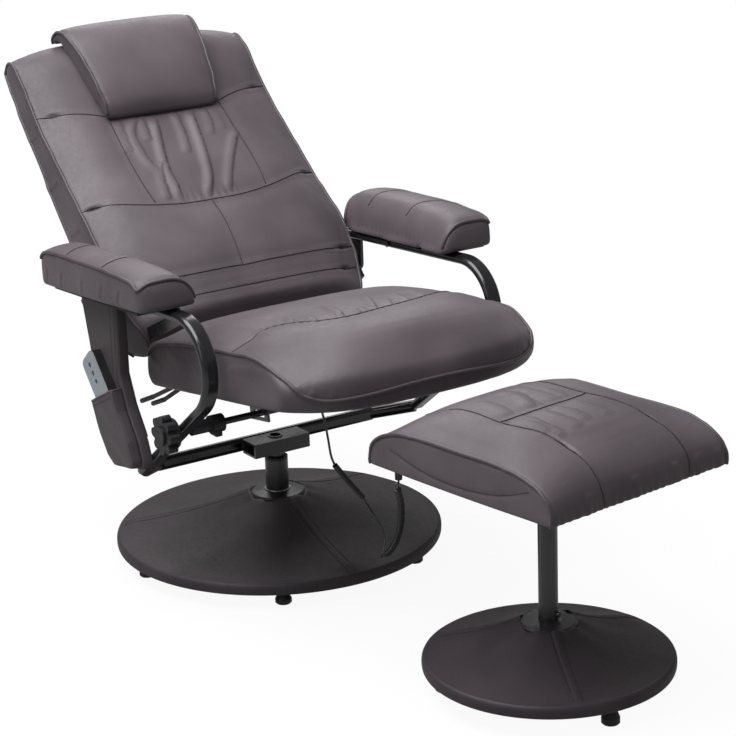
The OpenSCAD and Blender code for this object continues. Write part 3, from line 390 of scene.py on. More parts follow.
def tube_mesh(name, paths, radius, sides=8):
    """Round tubes along one or more lines, with rings square to each line."""
    bm = bmesh.new()
    for path in paths:
        pts = [Vector(p) for p in path]
        last = len(pts) - 1
        ahead = [pts[min(i + 1, last)] - pts[max(i - 1, 0)] for i in range(len(pts))]
        ahead = [a.normalized() if a.length > 0 else Vector((0, 0, 1)) for a in ahead]
        side = ahead[0].orthogonal().normalized()
        rings = []
        for centre, along in zip(pts, ahead):
            side = (side - along * side.dot(along)).normalized()
            up = along.cross(side)
            rings.append([bm.verts.new(centre + radius * (math.cos(2 * math.pi * k / sides) * side
                                                          + math.sin(2 * math.pi * k / sides) * up))
                          for k in range(sides)])
        for a, b in zip(rings, rings[1:]):
            for k in range(sides):
                bm.faces.new((a[k], a[(k + 1) % sides], b[(k + 1) % sides], b[k]))
        bm.faces.new(list(reversed(rings[0])))
        bm.faces.new(rings[-1])
    mesh = bpy.data.meshes.new(name)
    bmesh.ops.recalc_face_normals(bm, faces=bm.faces)
    bm.to_mesh(mesh)
    bm.free()
    return mesh


def remeshed(mesh, voxel, smooth_steps):
    """The mesh rebuilt from even faces of one size, and smoothed a little."""
    obj = bpy.data.objects.new("work", mesh)
    bpy.context.scene.collection.objects.link(obj)
    mod = obj.modifiers.new("voxels", "REMESH")
    mod.mode = "VOXEL"
    mod.voxel_size = voxel
    mod = obj.modifiers.new("smooth", "SMOOTH")
    mod.factor = 0.5
    mod.iterations = smooth_steps
    out = bpy.data.meshes.new_from_object(obj.evaluated_get(bpy.context.evaluated_depsgraph_get()))
    bpy.data.objects.remove(obj)
    return out


def co_array(mesh):
    co = np.empty(len(mesh.vertices) * 3)
    mesh.vertices.foreach_get("co", co)
    return co.reshape(-1, 3)


def set_co(mesh, co):
    mesh.vertices.foreach_set("co", co.ravel())
    mesh.update()


def normal_array(mesh):
    no = np.empty(len(mesh.vertices) * 3)
    mesh.vertices.foreach_get("normal", no)
    return no.reshape(-1, 3)


def evened(mesh, values, steps):
    """A vector per point, averaged with its neighbours' a number of times."""
    ends = np.empty(len(mesh.edges) * 2, dtype=np.int32)
    mesh.edges.foreach_get("vertices", ends)
    a, b = ends.reshape(-1, 2).T
    n = len(mesh.vertices)
    count = np.bincount(a, minlength=n) + np.bincount(b, minlength=n)
    for _ in range(steps):
        total = np.stack([np.bincount(a, values[b, k], n) + np.bincount(b, values[a, k], n)
                          for k in range(3)], 1)
        values = 0.4 * values + 0.6 * total / count[:, None]
    return values


# Length of the simulation, how often the swell is averaged, and the share of it that is kept sideways,
# where the covers are cut flat.
FILL_FRAMES = 20
SWELL_STEPS = 45
SIDE_SWELL = 0.5


def filled(mesh, held, cap, up):
    """The cover swollen by its filling: a cloth simulation under pressure, held where it lies on its
    board, with each point's way capped."""
    rest = co_array(mesh).copy()
    obj = bpy.data.objects.new("work", mesh)
    scene = bpy.context.scene
    scene.collection.objects.link(obj)
    group = obj.vertex_groups.new(name="held")
    group.add([int(i) for i in np.nonzero(held)[0]], 1.0, "REPLACE")
    mod = obj.modifiers.new("fill", "CLOTH")
    cloth = mod.settings
    cloth.quality = 4
    cloth.mass = 0.35
    cloth.tension_stiffness = 25
    cloth.compression_stiffness = 25
    cloth.shear_stiffness = 12
    cloth.bending_stiffness = 0.6
    cloth.vertex_group_mass = "held"
    cloth.use_pressure = True
    cloth.uniform_pressure_force = up.fill_pressure
    cloth.effector_weights.gravity = 0
    mod.collision_settings.use_collision = False
    for f in range(1, FILL_FRAMES + 1):
        scene.frame_set(f)
        bpy.context.view_layer.update()
    out = bpy.data.meshes.new_from_object(obj.evaluated_get(bpy.context.evaluated_depsgraph_get()))
    bpy.data.objects.remove(obj)
    scene.frame_set(1)
    moved = co_array(out) - rest
    length = np.linalg.norm(moved, axis=1, keepdims=True)
    moved *= np.minimum(1.0, cap / np.maximum(length, 1e-9))
    # The coated cover is too stiff for small crumples.
    moved = evened(out, moved, SWELL_STEPS)
    moved[:, 0] *= SIDE_SWELL
    set_co(out, rest + moved)
    return out


# Distance between the points of a stroke's line, and the most pairs of points compared at a time.
STROKE_STEP = 0.0022
PAIRS_AT_ONCE = 4000000


def stroke_height(kind, d, side, s, t, depth, width, groove):
    """How far a stroke lifts the cover at the distance d from its line, s metres and the share t along it.
    seam: a groove with raised lips in a wide valley. fold: a groove with a lip on one side, fading at
    both ends. gather: short puckers across the line."""
    if kind == "seam":
        pucker = 1 + 0.2 * np.sin(s * 2 * np.pi / 0.017) * np.sin(s * 2 * np.pi / 0.041 + 1)
        ends = 0.3 + 0.7 * np.clip(np.minimum(t, 1 - t) / 0.07, 0, 1)
        return ends * (-depth * np.exp(-(d / groove) ** 2)
                       - 0.55 * depth * np.exp(-(d / width) ** 2)
                       + 0.16 * depth * pucker * np.exp(-((d - 2.2 * groove) / (1.5 * groove)) ** 2))
    if kind == "fold":
        fade = np.clip(np.minimum(t, 1 - t) / 0.12, 0, 1)
        return fade * (-depth * np.exp(-(d / (0.55 * width)) ** 2)
                       + 0.5 * depth * np.exp(-((side * d - 1.5 * width) / (1.2 * width)) ** 2))
    return depth * np.sin(s * 2 * np.pi / 0.0155 + 1.3 * np.sin(s * 61)) * np.exp(-(d / width) ** 2)


def sewn(mesh, strokes, seam_width):
    """Sews lines into the cover. Each stroke is (kind, points, depth, width), in metres in the row frame."""
    co = co_array(mesh)
    no = normal_array(mesh)
    push = np.zeros(len(co))
    for kind, points, depth, width in strokes:
        line = np.array([tuple(p) for p in even_line(smooth_line(points), STROKE_STEP)])
        reach = max(width * 3.2, seam_width * 8)
        low, high = line.min(0) - reach, line.max(0) + reach
        near = np.nonzero(((co > low) & (co < high)).all(1))[0]
        if not len(near):
            continue
        along = np.zeros(len(line))
        along[1:] = np.cumsum(np.linalg.norm(np.diff(line, axis=0), axis=1))
        ahead = np.gradient(line, axis=0)
        for part in np.array_split(near, max(1, len(near) * len(line) // PAIRS_AT_ONCE + 1)):
            away = co[part][:, None, :] - line[None]
            dist = np.sqrt((away ** 2).sum(2))
            i = dist.argmin(1)
            d = dist[np.arange(len(part)), i]
            offset = away[np.arange(len(part)), i]
            # Points on the far side of the pad are left alone.
            facing = np.abs((offset * no[part]).sum(1)) < np.maximum(width * 2.5, 0.02)
            side = np.sign((np.cross(ahead[i], no[part]) * offset).sum(1))
            value = stroke_height(kind, d, side, along[i], along[i] / along[-1], depth, width, seam_width)
            push[part] += np.where(facing, value, 0)
    set_co(mesh, co + no * push[:, None])


def on_surface(mesh, points, lift):
    """The points moved to the nearest place on the mesh, and lifted from it."""
    tree = BVHTree.FromPolygons([v.co for v in mesh.vertices], [p.vertices for p in mesh.polygons])
    out = []
    for p in points:
        place, normal, _, _ = tree.find_nearest(Vector(p))
        out.append(place + normal * lift)
    return out


# Distance between the points of a line of piping or thread.
LINE_STEP = 0.004


def corded_edges(name, mesh, lines, up, body):
    """Piping: a corded tube that lies half sunk along each line."""
    laid = [on_surface(mesh, even_line(smooth_line(line), LINE_STEP), up.piping_radius * 0.35)
            for line in lines]
    tube = tube_mesh(name, [eased(line, 3) for line in laid], up.piping_radius, 10)
    return link(name, tube, MATERIALS["piping"], body)


def seam_shade_threads(name, mesh, lines, body, radius=0.0009):
    """The thread that lies in the bottom of the seams, near-black so that it also draws the painted shade of
    the seam's groove.
    """
    laid = [on_surface(mesh, even_line(smooth_line(line), LINE_STEP), radius * 0.6) for line in lines]
    tube = tube_mesh(name, [eased(line, 5) for line in laid], radius, 5)
    return link(name, tube, MATERIALS["thread"], body)


# Cushions

BACK_PIVOT = Matrix.Translation((0, CHAIR_Y - 0.015, 0.402))
OTTOMAN_PLACE = Matrix.Translation((0.034, CHAIR_Y - 0.786, 0)) @ Matrix.Rotation(math.radians(7.5), 4, "Z")

# Rows of a cushion's outline: a share of its length, of its depth and of its crown.
BACK = dict(
    rows=[[0.062, -0.45, 0.7], [0.073, -0.3, 0.96], [0.088, -0.17, 1.24], [0.115, -0.1, 1.9],
          [0.17, -0.07, 1.6], [0.25, 0, 1.35], [0.34, 0.04, 1.1], [0.49, -0.08, 0.9], [0.68, -0.22, 0.6],
          [0.8, -0.26, 0.6], [0.92, -0.22, 0.6], [0.97, -0.26, 0.5], [0.995, -0.36, 0.2], [1.004, -0.5, 0],
          [0.985, -0.7, 0], [0.93, -0.8, 0], [0.23, -0.996, 0], [0.15, -0.98, 0], [0.095, -0.88, 0],
          [0.06, -0.6, 0]],
    half_w=0.268, length=0.747, depth=0.100, crown=0.022, flare=-0.012, cut=0.036, pinch=0.075,
    place=BACK_PIVOT @ Matrix.Rotation(math.radians(46), 4, "X"))
PILLOW = dict(
    rows=[[0, 0, 0], [-0.008, 0.15, 0], [0.02, 0.45, 0.2], [0.12, 0.8, 0.6], [0.35, 1.02, 1], [0.6, 1.08, 1],
          [0.78, 0.95, 1], [0.92, 0.68, 0.8], [1.0, 0.22, 0.6], [1.025, -0.4, 0.3], [1.0, -1.0, 0],
          [0.95, -0.9, 0], [0.9, -0.2, 0]],
    half_w=0.120, length=0.221, depth=0.038, crown=0.009, flare=0.026, cut=0, pinch=0, round=0.03,
    place=BACK_PIVOT @ Matrix.Rotation(math.radians(-44), 4, "X")
    @ Matrix.Translation((-0.008, 0.0085, 0.526)) @ Matrix.Rotation(math.radians(90), 4, "X"))
SEAT = dict(
    rows=[[0.03, 0, 0], [-0.01, 0.2, 0], [-0.01, 0.6, 0], [0.005, 0.78, 0.1], [0.03, 0.88, 0.4],
          [0.28, 0.98, 1], [0.544, 1, 1], [0.707, 1, 1], [0.862, 0.89, 0.8], [0.95, 0.66, 0.5],
          [0.995, 0.42, 0.3], [0.99, 0.2, 0], [0.965, 0, 0]],
    half_w=0.262, length=0.556, depth=0.098, crown=0.017, flare=0, cut=0.14, pinch=0,
    place=Matrix.Translation((0, CHAIR_Y, 0.369)) @ Matrix.Rotation(math.radians(-8.5), 4, "X")
    @ Matrix.Rotation(math.pi, 4, "Z"))


def bulge(v, power):
    """The value raised to a power with its sign kept."""
    return math.copysign(abs(v) ** power, v)


OTTOMAN = dict(
    rows=[[0.5 - bulge(math.cos(math.pi * i / 14), 0.55) / 2, bulge(math.sin(math.pi * i / 14), 0.62),
           math.sin(math.pi * i / 14)] for i in range(15)],
    half_w=0.198, length=0.420, depth=0.080, crown=0.020, flare=0, cut=0, pinch=0,
    place=OTTOMAN_PLACE @ Matrix.Translation((0, -0.210, 0.375)))
ARM_ROWS = [[0.012, 0, 0], [0, 0.08, 0], [-0.002, 0.4, 0], [0.004, 0.64, 0.3], [0.03, 0.78, 0.8],
            [0.1, 0.88, 1], [0.3, 0.98, 1], [0.6, 1.04, 1], [0.85, 1.05, 1], [0.96, 0.96, 0.7],
            [0.995, 0.76, 0.2], [1, 0.4, 0], [0.998, 0.08, 0], [0.985, 0, 0]]
# Where an arm's top begins to roll down to its inner edge, as a share of its half width.
ROLL_FROM = 0.05


def arm(side):
    return dict(rows=ARM_ROWS, half_w=0.058, length=0.382, depth=0.068, crown=0.009, flare=-0.006, cut=0,
                pinch=0, round=0.05, roll=-side, lean=-side * 0.013,
                place=Matrix.Translation((0, CHAIR_Y - 0.212, 0.468))
                @ Matrix.Rotation(math.radians(-3.4), 4, "X")
                @ Matrix.Translation((side * 0.3215, 0.002, 0.095)))


def cushion_point(c, e, row):
    """A point of the cushion: e from -1 to 1 across it, and a row of its outline."""
    s, d, k = row
    s = 0.5 + (s - 0.5) * (1 - c.get("round", 0) * abs(e) ** 6)
    if "roll" in c:
        inward = max(0.0, (e * c["roll"] - ROLL_FROM) / (1 - ROLL_FROM))
        d *= math.sqrt(max(0.0, 1 - inward ** 2.4))
    return Vector((
        e * (c["half_w"] + c["flare"] * s - c["pinch"] * max(0.0, 1 - s / 0.25) ** 2)
        + c.get("lean", 0) * (1 - s) ** 2,
        s * c["length"] * (1 - c["cut"] * abs(e) ** 4),
        d * c["depth"] + k * c["crown"] * (1 - abs(e) ** 3)))


def cushion_mesh(name, c, shrink):
    """The closed form of a cushion, in its own frame, a little under size so that it can swell."""
    rows = smooth_line(c["rows"], 5)
    stations = [math.copysign(1 - (1 - abs(t)) ** 1.6, t) for t in np.linspace(-1, 1, 41)]
    bm = bmesh.new()
    rings = [[bm.verts.new(cushion_point(c, e, row)) for row in rows] for e in stations]
    around = len(rows)
    for a, b in zip(rings, rings[1:]):
        for j in range(around):
            bm.faces.new((a[j], a[(j + 1) % around], b[(j + 1) % around], b[j]))
    bm.faces.new(rings[0])
    bm.faces.new(rings[-1])
    bmesh.ops.recalc_face_normals(bm, faces=bm.faces)
    bmesh.ops.triangulate(bm, faces=[f for f in bm.faces if len(f.verts) > 4])
    bm.normal_update()
    for v in bm.verts:
        v.co -= v.normal * shrink
    mesh = bpy.data.meshes.new(name)
    bm.to_mesh(mesh)
    bm.free()
    return mesh


def padded_cover(name, c, body, nodes, up, strokes, shrink, cap, hold, floor=0.0015, seat_plane=None,
                 sag=None):
    """A padded piece: its form, swollen by cloth simulation, rebuilt finely, and sewn."""
    coarse = remeshed(cushion_mesh(name, c, shrink), up.sim_voxel, 2)
    co = co_array(coarse)
    held = co[:, 2] < hold if seat_plane is None else co[:, 2] < seat_plane(co) + hold
    swollen = filled(coarse, held, cap, up)
    fine = remeshed(swollen, up.fine_voxel, 4)
    co = co_array(fine)
    base = floor if seat_plane is None else seat_plane(co) + floor
    co[:, 2] = np.maximum(co[:, 2], base)
    if sag is not None:
        co[:, 2] -= sag(co)
    set_co(fine, co)
    fine.transform(c["place"])
    fine.update()
    sewn(fine, strokes, up.seam_width)
    obj = link(name, fine, MATERIALS["cover"], body)
    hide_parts(*nodes)
    return obj


def mm_line(points):
    return [Vector(p) * MM for p in points]


def mirrored(points):
    return [Vector((-p[0], p[1], p[2])) for p in points]


def on_cushion(c, e, row):
    """A point of the cushion in the row frame."""
    return c["place"] @ cushion_point(c, e, row)


def ring_line(c, e, first, last, inset=1.0):
    """The part of an end ring from one row to another, in the row frame."""
    return [on_cushion(c, e * inset, row) for row in c["rows"][first:last + 1]]


# The chair back's seams, in millimetres of the row frame, on its front.
BACK_SEAM_TOP = mm_line([[-255, 642, 798], [-217, 634, 797], [-181, 626, 794], [-146, 616, 789],
                         [-112, 607, 781], [-60, 600, 776], [0, 597, 774]])
BACK_SLANT = mm_line([[-118, 618, 790], [-121, 594, 768], [-122, 560, 740], [-124, 523, 711],
                      [-124, 493, 687], [-122, 465, 665], [-118, 438, 643]])
BACK_SEAM_MID = mm_line([[-263, 474, 648], [-227, 466, 652], [-196, 457, 651], [-160, 445, 646],
                         [-118, 434, 641], [-60, 425, 637], [0, 424, 637]])
BACK_CENTRE = mm_line([[-8, 424, 637], [-6, 392, 612], [-7, 360, 583], [-9, 335, 559], [-11, 314, 537]])
BACK_SEAM_LOW = mm_line([[-258, 343, 525], [-209, 329, 530], [-161, 322, 533], [-95, 316, 535],
                         [-38, 314, 536], [0, 313, 535]])
BACK_SEAM_FOOT = mm_line([[-248, 312, 492], [-200, 302, 497], [-150, 293, 501], [-75, 286, 505],
                          [0, 285, 506]])
BACK_FOLDS = [mm_line(p) for p in (
    [[-62, 599, 775], [-82, 575, 753], [-88, 549, 733], [-84, 509, 701], [-75, 494, 690]],
    [[-26, 597, 773], [-33, 572, 751], [-46, 533, 721], [-58, 491, 688], [-60, 456, 661], [-61, 426, 638]],
    [[19, 599, 775], [18, 578, 755], [13, 546, 731], [2, 512, 705]],
    [[55, 599, 775], [49, 578, 755], [41, 538, 724], [29, 494, 691], [15, 461, 665], [-8, 426, 638]],
    [[83, 598, 773], [83, 576, 753], [72, 543, 728]],
    [[125, 546, 728], [100, 517, 707], [77, 488, 685], [54, 455, 660], [41, 430, 642]],
    [[-65, 509, 702], [-78, 477, 677], [-86, 435, 644]],
    [[-51, 596, 772], [-56, 575, 753], [-60, 549, 733]],
    [[-100, 600, 776], [-104, 570, 750], [-108, 535, 722]],
    [[104, 600, 776], [106, 575, 755], [104, 552, 735]])]
FOLD_DEPTHS = [0.005, 0.0095, 0.0055, 0.0105, 0.004, 0.0065, 0.0045, 0.004, 0.0025, 0.0025]
# Creases on the side panels, fanning down from the piping: both ends and the depth, in millimetres.
BACK_SIDE_CREASES = [((268, 640, 760), (266, 690, 742), 3.0), ((267, 560, 690), (266, 604, 660), 2.6),
                     ((266, 480, 612), (265, 520, 590), 2.6), ((264, 400, 540), (264, 440, 500), 3.0)]
# The rear face of the back's board: its depth at the foot and its slant in degrees.
BACK_BOARD_DEPTH, BACK_BOARD_SLANT = 0.1061, 2.2
# The pillow lies on the back up to here along it, and hangs this far down beyond.
PILLOW_HELD_TO, PILLOW_HANG = 0.196, -0.045
# Half of the middle panel's width, and the way up from its lower seam to the gathers.
MIDDLE_PANEL = 0.118
GATHER_ABOVE_SEAM = Vector((0, 0.008, 0.007))


def join_mirror(half):
    """A line and its mirror image as one line across the chair."""
    return half + mirrored(half[:-1])[::-1]


def back_plane(co):
    """Depth of the board's rear face under each point of the back, in the cushion's own frame."""
    return -(BACK_BOARD_DEPTH - np.tan(math.radians(BACK_BOARD_SLANT)) * co[:, 1])


def pillow_plane(co):
    """The back's front under the pillow, which falls away where the pillow goes over the top."""
    return np.where(co[:, 1] > PILLOW_HELD_TO, PILLOW_HANG, 0.0)


class RECLINER_OT_back(bpy.types.Operator):
    """Make the padded back with its seams, pleats and piping, and the head pillow"""
    bl_idname = "recliner.back"
    bl_label = "Back and head pillow"

    def execute(self, context):
        up = context.scene.recliner_upholstery
        top, mid = join_mirror(BACK_SEAM_TOP), join_mirror(BACK_SEAM_MID)
        low, foot = join_mirror(BACK_SEAM_LOW), join_mirror(BACK_SEAM_FOOT)
        slants = [BACK_SLANT, mirrored(BACK_SLANT)]
        strokes = [("seam", top, 0.004, 0.02), ("seam", mid, 0.0055, 0.026), ("seam", low, 0.0065, 0.022),
                   ("seam", foot, 0.006, 0.018), ("seam", BACK_CENTRE, 0.0026, 0.012)]
        strokes += [("seam", s, 0.0035, 0.014) for s in slants]
        strokes += [("fold", f, d, 0.0065) for f, d in zip(BACK_FOLDS, FOLD_DEPTHS)]
        inner = [p + GATHER_ABOVE_SEAM for p in mid if abs(p[0]) < MIDDLE_PANEL]
        strokes.append(("gather", inner, 0.0008, 0.012))
        for side in (-1, 1):
            for (x, y, z), (x_end, y_end, z_end), depth in BACK_SIDE_CREASES:
                crease = mm_line([[side * x, y, z], [side * (x - 2), (y + y_end) / 2, (z + z_end) / 2 - 4],
                                  [side * x_end, y_end, z_end]])
                strokes.append(("fold", crease, depth * MM, 0.007))
        obj = padded_cover("back_cushion_cover", BACK, "backrest", ["back_cushion"], up, strokes,
                           shrink=0.004, cap=0.012, hold=0.008, seat_plane=back_plane)
        rings = [ring_line(BACK, e, 1, 18) for e in (-1, 1)]
        corded_edges("back_piping", obj.data, rings, up, "backrest")
        seam_shade_threads("back_seam_shade_threads", obj.data, [top, mid, low, foot, BACK_CENTRE] + slants, "backrest")
        # The pillow hangs over the top of the back.
        pillow_strokes = [("seam", ring_line(PILLOW, e, 2, 10, 0.955), 0.0012, 0.006) for e in (-1, 1)]
        pillow = padded_cover("head_pillow_cover", PILLOW, "backrest", ["head_pillow"], up, pillow_strokes,
                              shrink=0.003, cap=0.008, hold=0.003, floor=0.0003,
                              seat_plane=pillow_plane)
        pillow_rings = [ring_line(PILLOW, e, 2, 10) for e in (-1, 1)]
        corded_edges("pillow_piping", pillow.data, pillow_rings, up, "backrest")
        return {"FINISHED"}


SEAT_EDGE = mm_line([[-262, 232, 432], [-262, 207, 456], [-262, 173, 472],
                     [-262, 107, 487], [-262, 4, 503], [-262, -68, 512], [-260, -133, 516],
                     [-257, -179, 512], [-252, -206, 505], [-247, -228, 495], [-241, -248, 480],
                     [-230, -258, 468], [-209, -269, 462], [-184, -278, 460], [-136, -290, 462],
                     [-60, -300, 467], [0, -302, 468]])
SEAT_SEAM = mm_line([[-258, -52, 512], [-242, -60, 517], [-217, -58, 521], [-188, -60, 524],
                     [-147, -78, 529], [-117, -118, 537], [-81, -134, 540], [-44, -136, 541],
                     [3, -128, 540], [42, -123, 539], [84, -112, 537], [122, -96, 533], [167, -72, 527],
                     [215, -52, 520], [257, -45, 512]])
SEAT_SEAM_REAR = mm_line([[-200, 190, 470], [-146, 196, 473], [-100, 200, 474], [-53, 205, 473],
                          [0, 206, 473]])
SEAT_DARTS = [mm_line(p) for p in (
    [[-139, 79, 505], [-141, 45, 510], [-136, 22, 514], [-127, 6, 517]],
    [[-99, -49, 527], [-104, -81, 532], [-115, -121, 537]],
    [[-37, -5, 522], [-40, -39, 527], [-57, -90, 534], [-69, -133, 540]],
    [[-18, -31, 525], [-16, -63, 529], [-17, -128, 540]],
    [[54, -15, 523], [24, -77, 532], [-4, -129, 540]],
    [[62, -62, 530], [44, -101, 536], [30, -126, 540]],
    [[-114, -32, 524], [-126, -60, 528], [-139, -82, 530]],
    [[-29, -87, 534], [-33, -119, 539], [-40, -138, 541]],
    [[98, -30, 526], [86, -75, 532], [76, -113, 537]],
    [[150, -10, 518], [136, -50, 525], [124, -94, 533]])]
DART_DEPTHS = [0.004, 0.006, 0.0115, 0.0055, 0.0085, 0.004, 0.004, 0.007, 0.006, 0.004]
# Creases on the seat's sides, each with its depth and width in metres.
SEAT_SIDE_CREASES = (
    ([[262, 168, 464], [262, 136, 455], [262, 94, 455], [262, 39, 464]], 0.0022, 0.006),
    ([[262, -47, 480], [262, -100, 492], [261, -151, 500], [256, -177, 500]], 0.002, 0.006),
    ([[244, -236, 485], [232, -244, 492]], 0.0022, 0.005),
    ([[228, -258, 470], [220, -262, 483]], 0.0022, 0.005),
    ([[250, -219, 500], [236, -226, 506]], 0.002, 0.005),
    ([[200, -272, 466], [192, -278, 478]], 0.0018, 0.005),
    ([[262, 225, 436], [262, 200, 428], [262, 180, 424]], 0.002, 0.007))
# The underside hangs from here on, over this length, up to this height and this far down at the most.
SAG_FROM, SAG_LENGTH, SAG_HEIGHT, SAG_DEPTH = 0.235, 0.2, 0.05, 0.015


def seat_sag(co):
    """How far the seat's soft underside hangs below its board, towards the front."""
    forward = np.clip((co[:, 1] - SAG_FROM) / SAG_LENGTH, 0, 1)
    across = np.clip(1 - (np.abs(co[:, 0]) / SEAT["half_w"]) ** 4, 0, 1)
    low = np.clip(1 - co[:, 2] / SAG_HEIGHT, 0, 1)
    return SAG_DEPTH * forward * forward * (3 - 2 * forward) * across * low * low * (3 - 2 * low)


class RECLINER_OT_seat(bpy.types.Operator):
    """Make the seat cushion with its cross seam, darts and piping"""
    bl_idname = "recliner.seat"
    bl_label = "Seat cushion"

    def execute(self, context):
        up = context.scene.recliner_upholstery
        edge = join_mirror(SEAT_EDGE)
        rear = join_mirror(SEAT_SEAM_REAR)
        strokes = [("seam", SEAT_SEAM, 0.0045, 0.026), ("seam", rear, 0.003, 0.02)]
        strokes += [("fold", f, d, 0.0065) for f, d in zip(SEAT_DARTS, DART_DEPTHS)]
        gathers = [p + Vector((0, 0.010, 0.001)) for p in SEAT_SEAM[3:13]]
        strokes.append(("gather", gathers, 0.0010, 0.012))
        for side in (-1, 1):
            for line, depth, width in SEAT_SIDE_CREASES:
                strokes.append(("fold", mm_line([[side * x, y, z] for x, y, z in line]), depth, width))
        obj = padded_cover("seat_cushion_cover", SEAT, "seat", ["seat_cushion"], up, strokes,
                           shrink=0.004, cap=0.014, hold=0.008, sag=seat_sag)
        corded_edges("seat_piping", obj.data, [edge], up, "seat")
        seam_shade_threads("seat_seam_shade_threads", obj.data, [SEAT_SEAM, rear], "seat")
        return {"FINISHED"}


# Rows at an arm's rear end and at its front end along which the piping climbs and falls.
ARM_REAR_ROW, ARM_FRONT_ROW = [0.975, 0.86, 0.5], [0.016, 0.76, 0.6]
# Shares of an arm's half width, from its inner edge outwards: the piping's at both ends, the seams' inwards.
ARM_END_SHARES = [-0.97, -0.88, -0.6, -0.2, 0.25, 0.65]
ARM_ACROSS_SHARES = [0.98, 0.6, 0.2, -0.2, -0.5, -0.75]
# Shares of an arm's length from the front: its cross seams, the line of gathers and the creases outside.
ARM_SEAM_SHARES = [0.36, 0.70]
ARM_GATHER_SHARES = [0.04, 0.3, 0.6, 0.95]
ARM_CREASE_SHARES = [0.16, 0.33, 0.52, 0.74, 0.9]
# How far a cross seam slants towards the rear as it goes inwards.
ARM_SEAM_SLANT = 0.035


class RECLINER_OT_arms(bpy.types.Operator):
    """Make the two padded arms with their top panels, cross seams and gathered inner edges"""
    bl_idname = "recliner.arms"
    bl_label = "Arm pads"

    def execute(self, context):
        up = context.scene.recliner_upholstery
        for side, word in ((-1, "left"), (1, "right")):
            c = arm(side)
            # The corded line climbs the rear end, follows the outer edge and falls over the front end.
            climb = [on_cushion(c, side * e, ARM_REAR_ROW) for e in ARM_END_SHARES]
            outer = [on_cushion(c, side, row) for row in reversed(c["rows"][3:11])]
            fall = [on_cushion(c, side * e, ARM_FRONT_ROW) for e in reversed(ARM_END_SHARES)]
            top_rows = smooth_line(c["rows"], 5)[20:50]
            cross = []
            for share in ARM_SEAM_SHARES:
                row = min(top_rows, key=lambda r: abs(r[0] - share))
                cross.append([on_cushion(c, side * e, row + Vector((ARM_SEAM_SLANT * (1 - e), 0, 0)))
                              for e in ARM_ACROSS_SHARES])
            strokes = [("seam", line, 0.0016, 0.010) for line in cross]
            inset = [on_cushion(c, -side * 0.97, [share, 0.7, 0]) for share in ARM_GATHER_SHARES]
            strokes.append(("gather", inset, 0.0005, 0.008))
            for share in ARM_CREASE_SHARES:
                crease = [on_cushion(c, side, [share + back, height, 0])
                          for back, height in ((0, 0.55), (0.02, 0.3), (0.03, 0.08))]
                strokes.append(("fold", crease, 0.0014, 0.006))
            obj = padded_cover("arm_pad_%s_cover" % word, c, "swivel_frame", ["arm_pad_" + word], up, strokes,
                               shrink=0.003, cap=0.009, hold=0.004)
            corded_edges("arm_%s_piping" % word, obj.data, [climb + outer + fall], up, "swivel_frame")
            seam_shade_threads("arm_%s_threads" % word, obj.data, cross, "swivel_frame")
        return {"FINISHED"}


OTTOMAN_SEAM_LEFT = mm_line([[-95, -398, 452], [-93, -405, 458], [-80, -443, 467], [-76, -489, 471],
                             [-74, -531, 471], [-72, -568, 471], [-65, -599, 471], [-54, -626, 471],
                             [-44, -655, 470], [-36, -689, 466], [-30, -719, 457], [-26, -741, 444],
                             [-24, -757, 425], [-21, -763, 401], [-20, -765, 384]])
OTTOMAN_SEAM_RIGHT = mm_line([[100, -375, 440], [104, -390, 452], [106, -419, 466], [105, -469, 472],
                              [106, -505, 473], [113, -539, 473], [123, -569, 472], [133, -604, 471],
                              [146, -647, 468], [155, -681, 461], [161, -706, 450], [165, -723, 435],
                              [168, -732, 422], [168, -739, 393], [166, -741, 380]])
OTTOMAN_CROSS = mm_line([[-72, -568, 471], [-47, -569, 473], [-19, -568, 474], [16, -563, 475],
                         [46, -559, 475], [72, -556, 474], [112, -545, 473]])
OTTOMAN_FOLDS = [mm_line(p) for p in (
    [[20, -479, 474], [25, -505, 474], [24, -555, 475]],
    [[61, -441, 472], [62, -481, 474], [63, -516, 474], [64, -550, 475]],
    [[29, -441, 472], [31, -496, 474], [8, -556, 475]],
    [[12, -568, 475], [19, -616, 474], [29, -656, 471]],
    [[-27, -575, 473], [-22, -627, 472], [-10, -664, 470]],
    [[-50, -576, 472], [-38, -606, 472], [-30, -649, 471]],
    [[39, -570, 475], [49, -602, 474], [53, -644, 472]],
    [[-28, -468, 473], [-30, -522, 474], [-36, -560, 473]],
    [[84, -480, 473], [86, -515, 474], [86, -545, 474]],
    [[78, -562, 474], [90, -600, 473], [100, -640, 470]])]
OTTOMAN_FOLD_DEPTHS = [0.003, 0.0035, 0.004, 0.0045, 0.004, 0.003, 0.0035, 0.003, 0.0025, 0.0035]
OTTOMAN_HEM = mm_line([[-122, -778, 384], [-67, -771, 384], [-20, -765, 384], [40, -757, 383],
                       [92, -750, 383], [151, -743, 383], [190, -738, 383], [234, -732, 383]])
# Shares across the ottoman of the creases that climb from its front hem, and the rows that they pass.
OTTOMAN_CREASE_SHARES = [-0.6, -0.1, 0.35, 0.62, 0.85]
OTTOMAN_CREASE_ROWS = [[0.006, 0.02, 0], [0.004, 0.25, 0.1], [0.012, 0.45, 0.3]]
# Rows that the crescent seam passes on each side.
OTTOMAN_CRESCENT = [[0.13, 0.62, 0], [0.28, 0.36, 0], [0.48, 0.24, 0], [0.68, 0.3, 0], [0.86, 0.52, 0]]


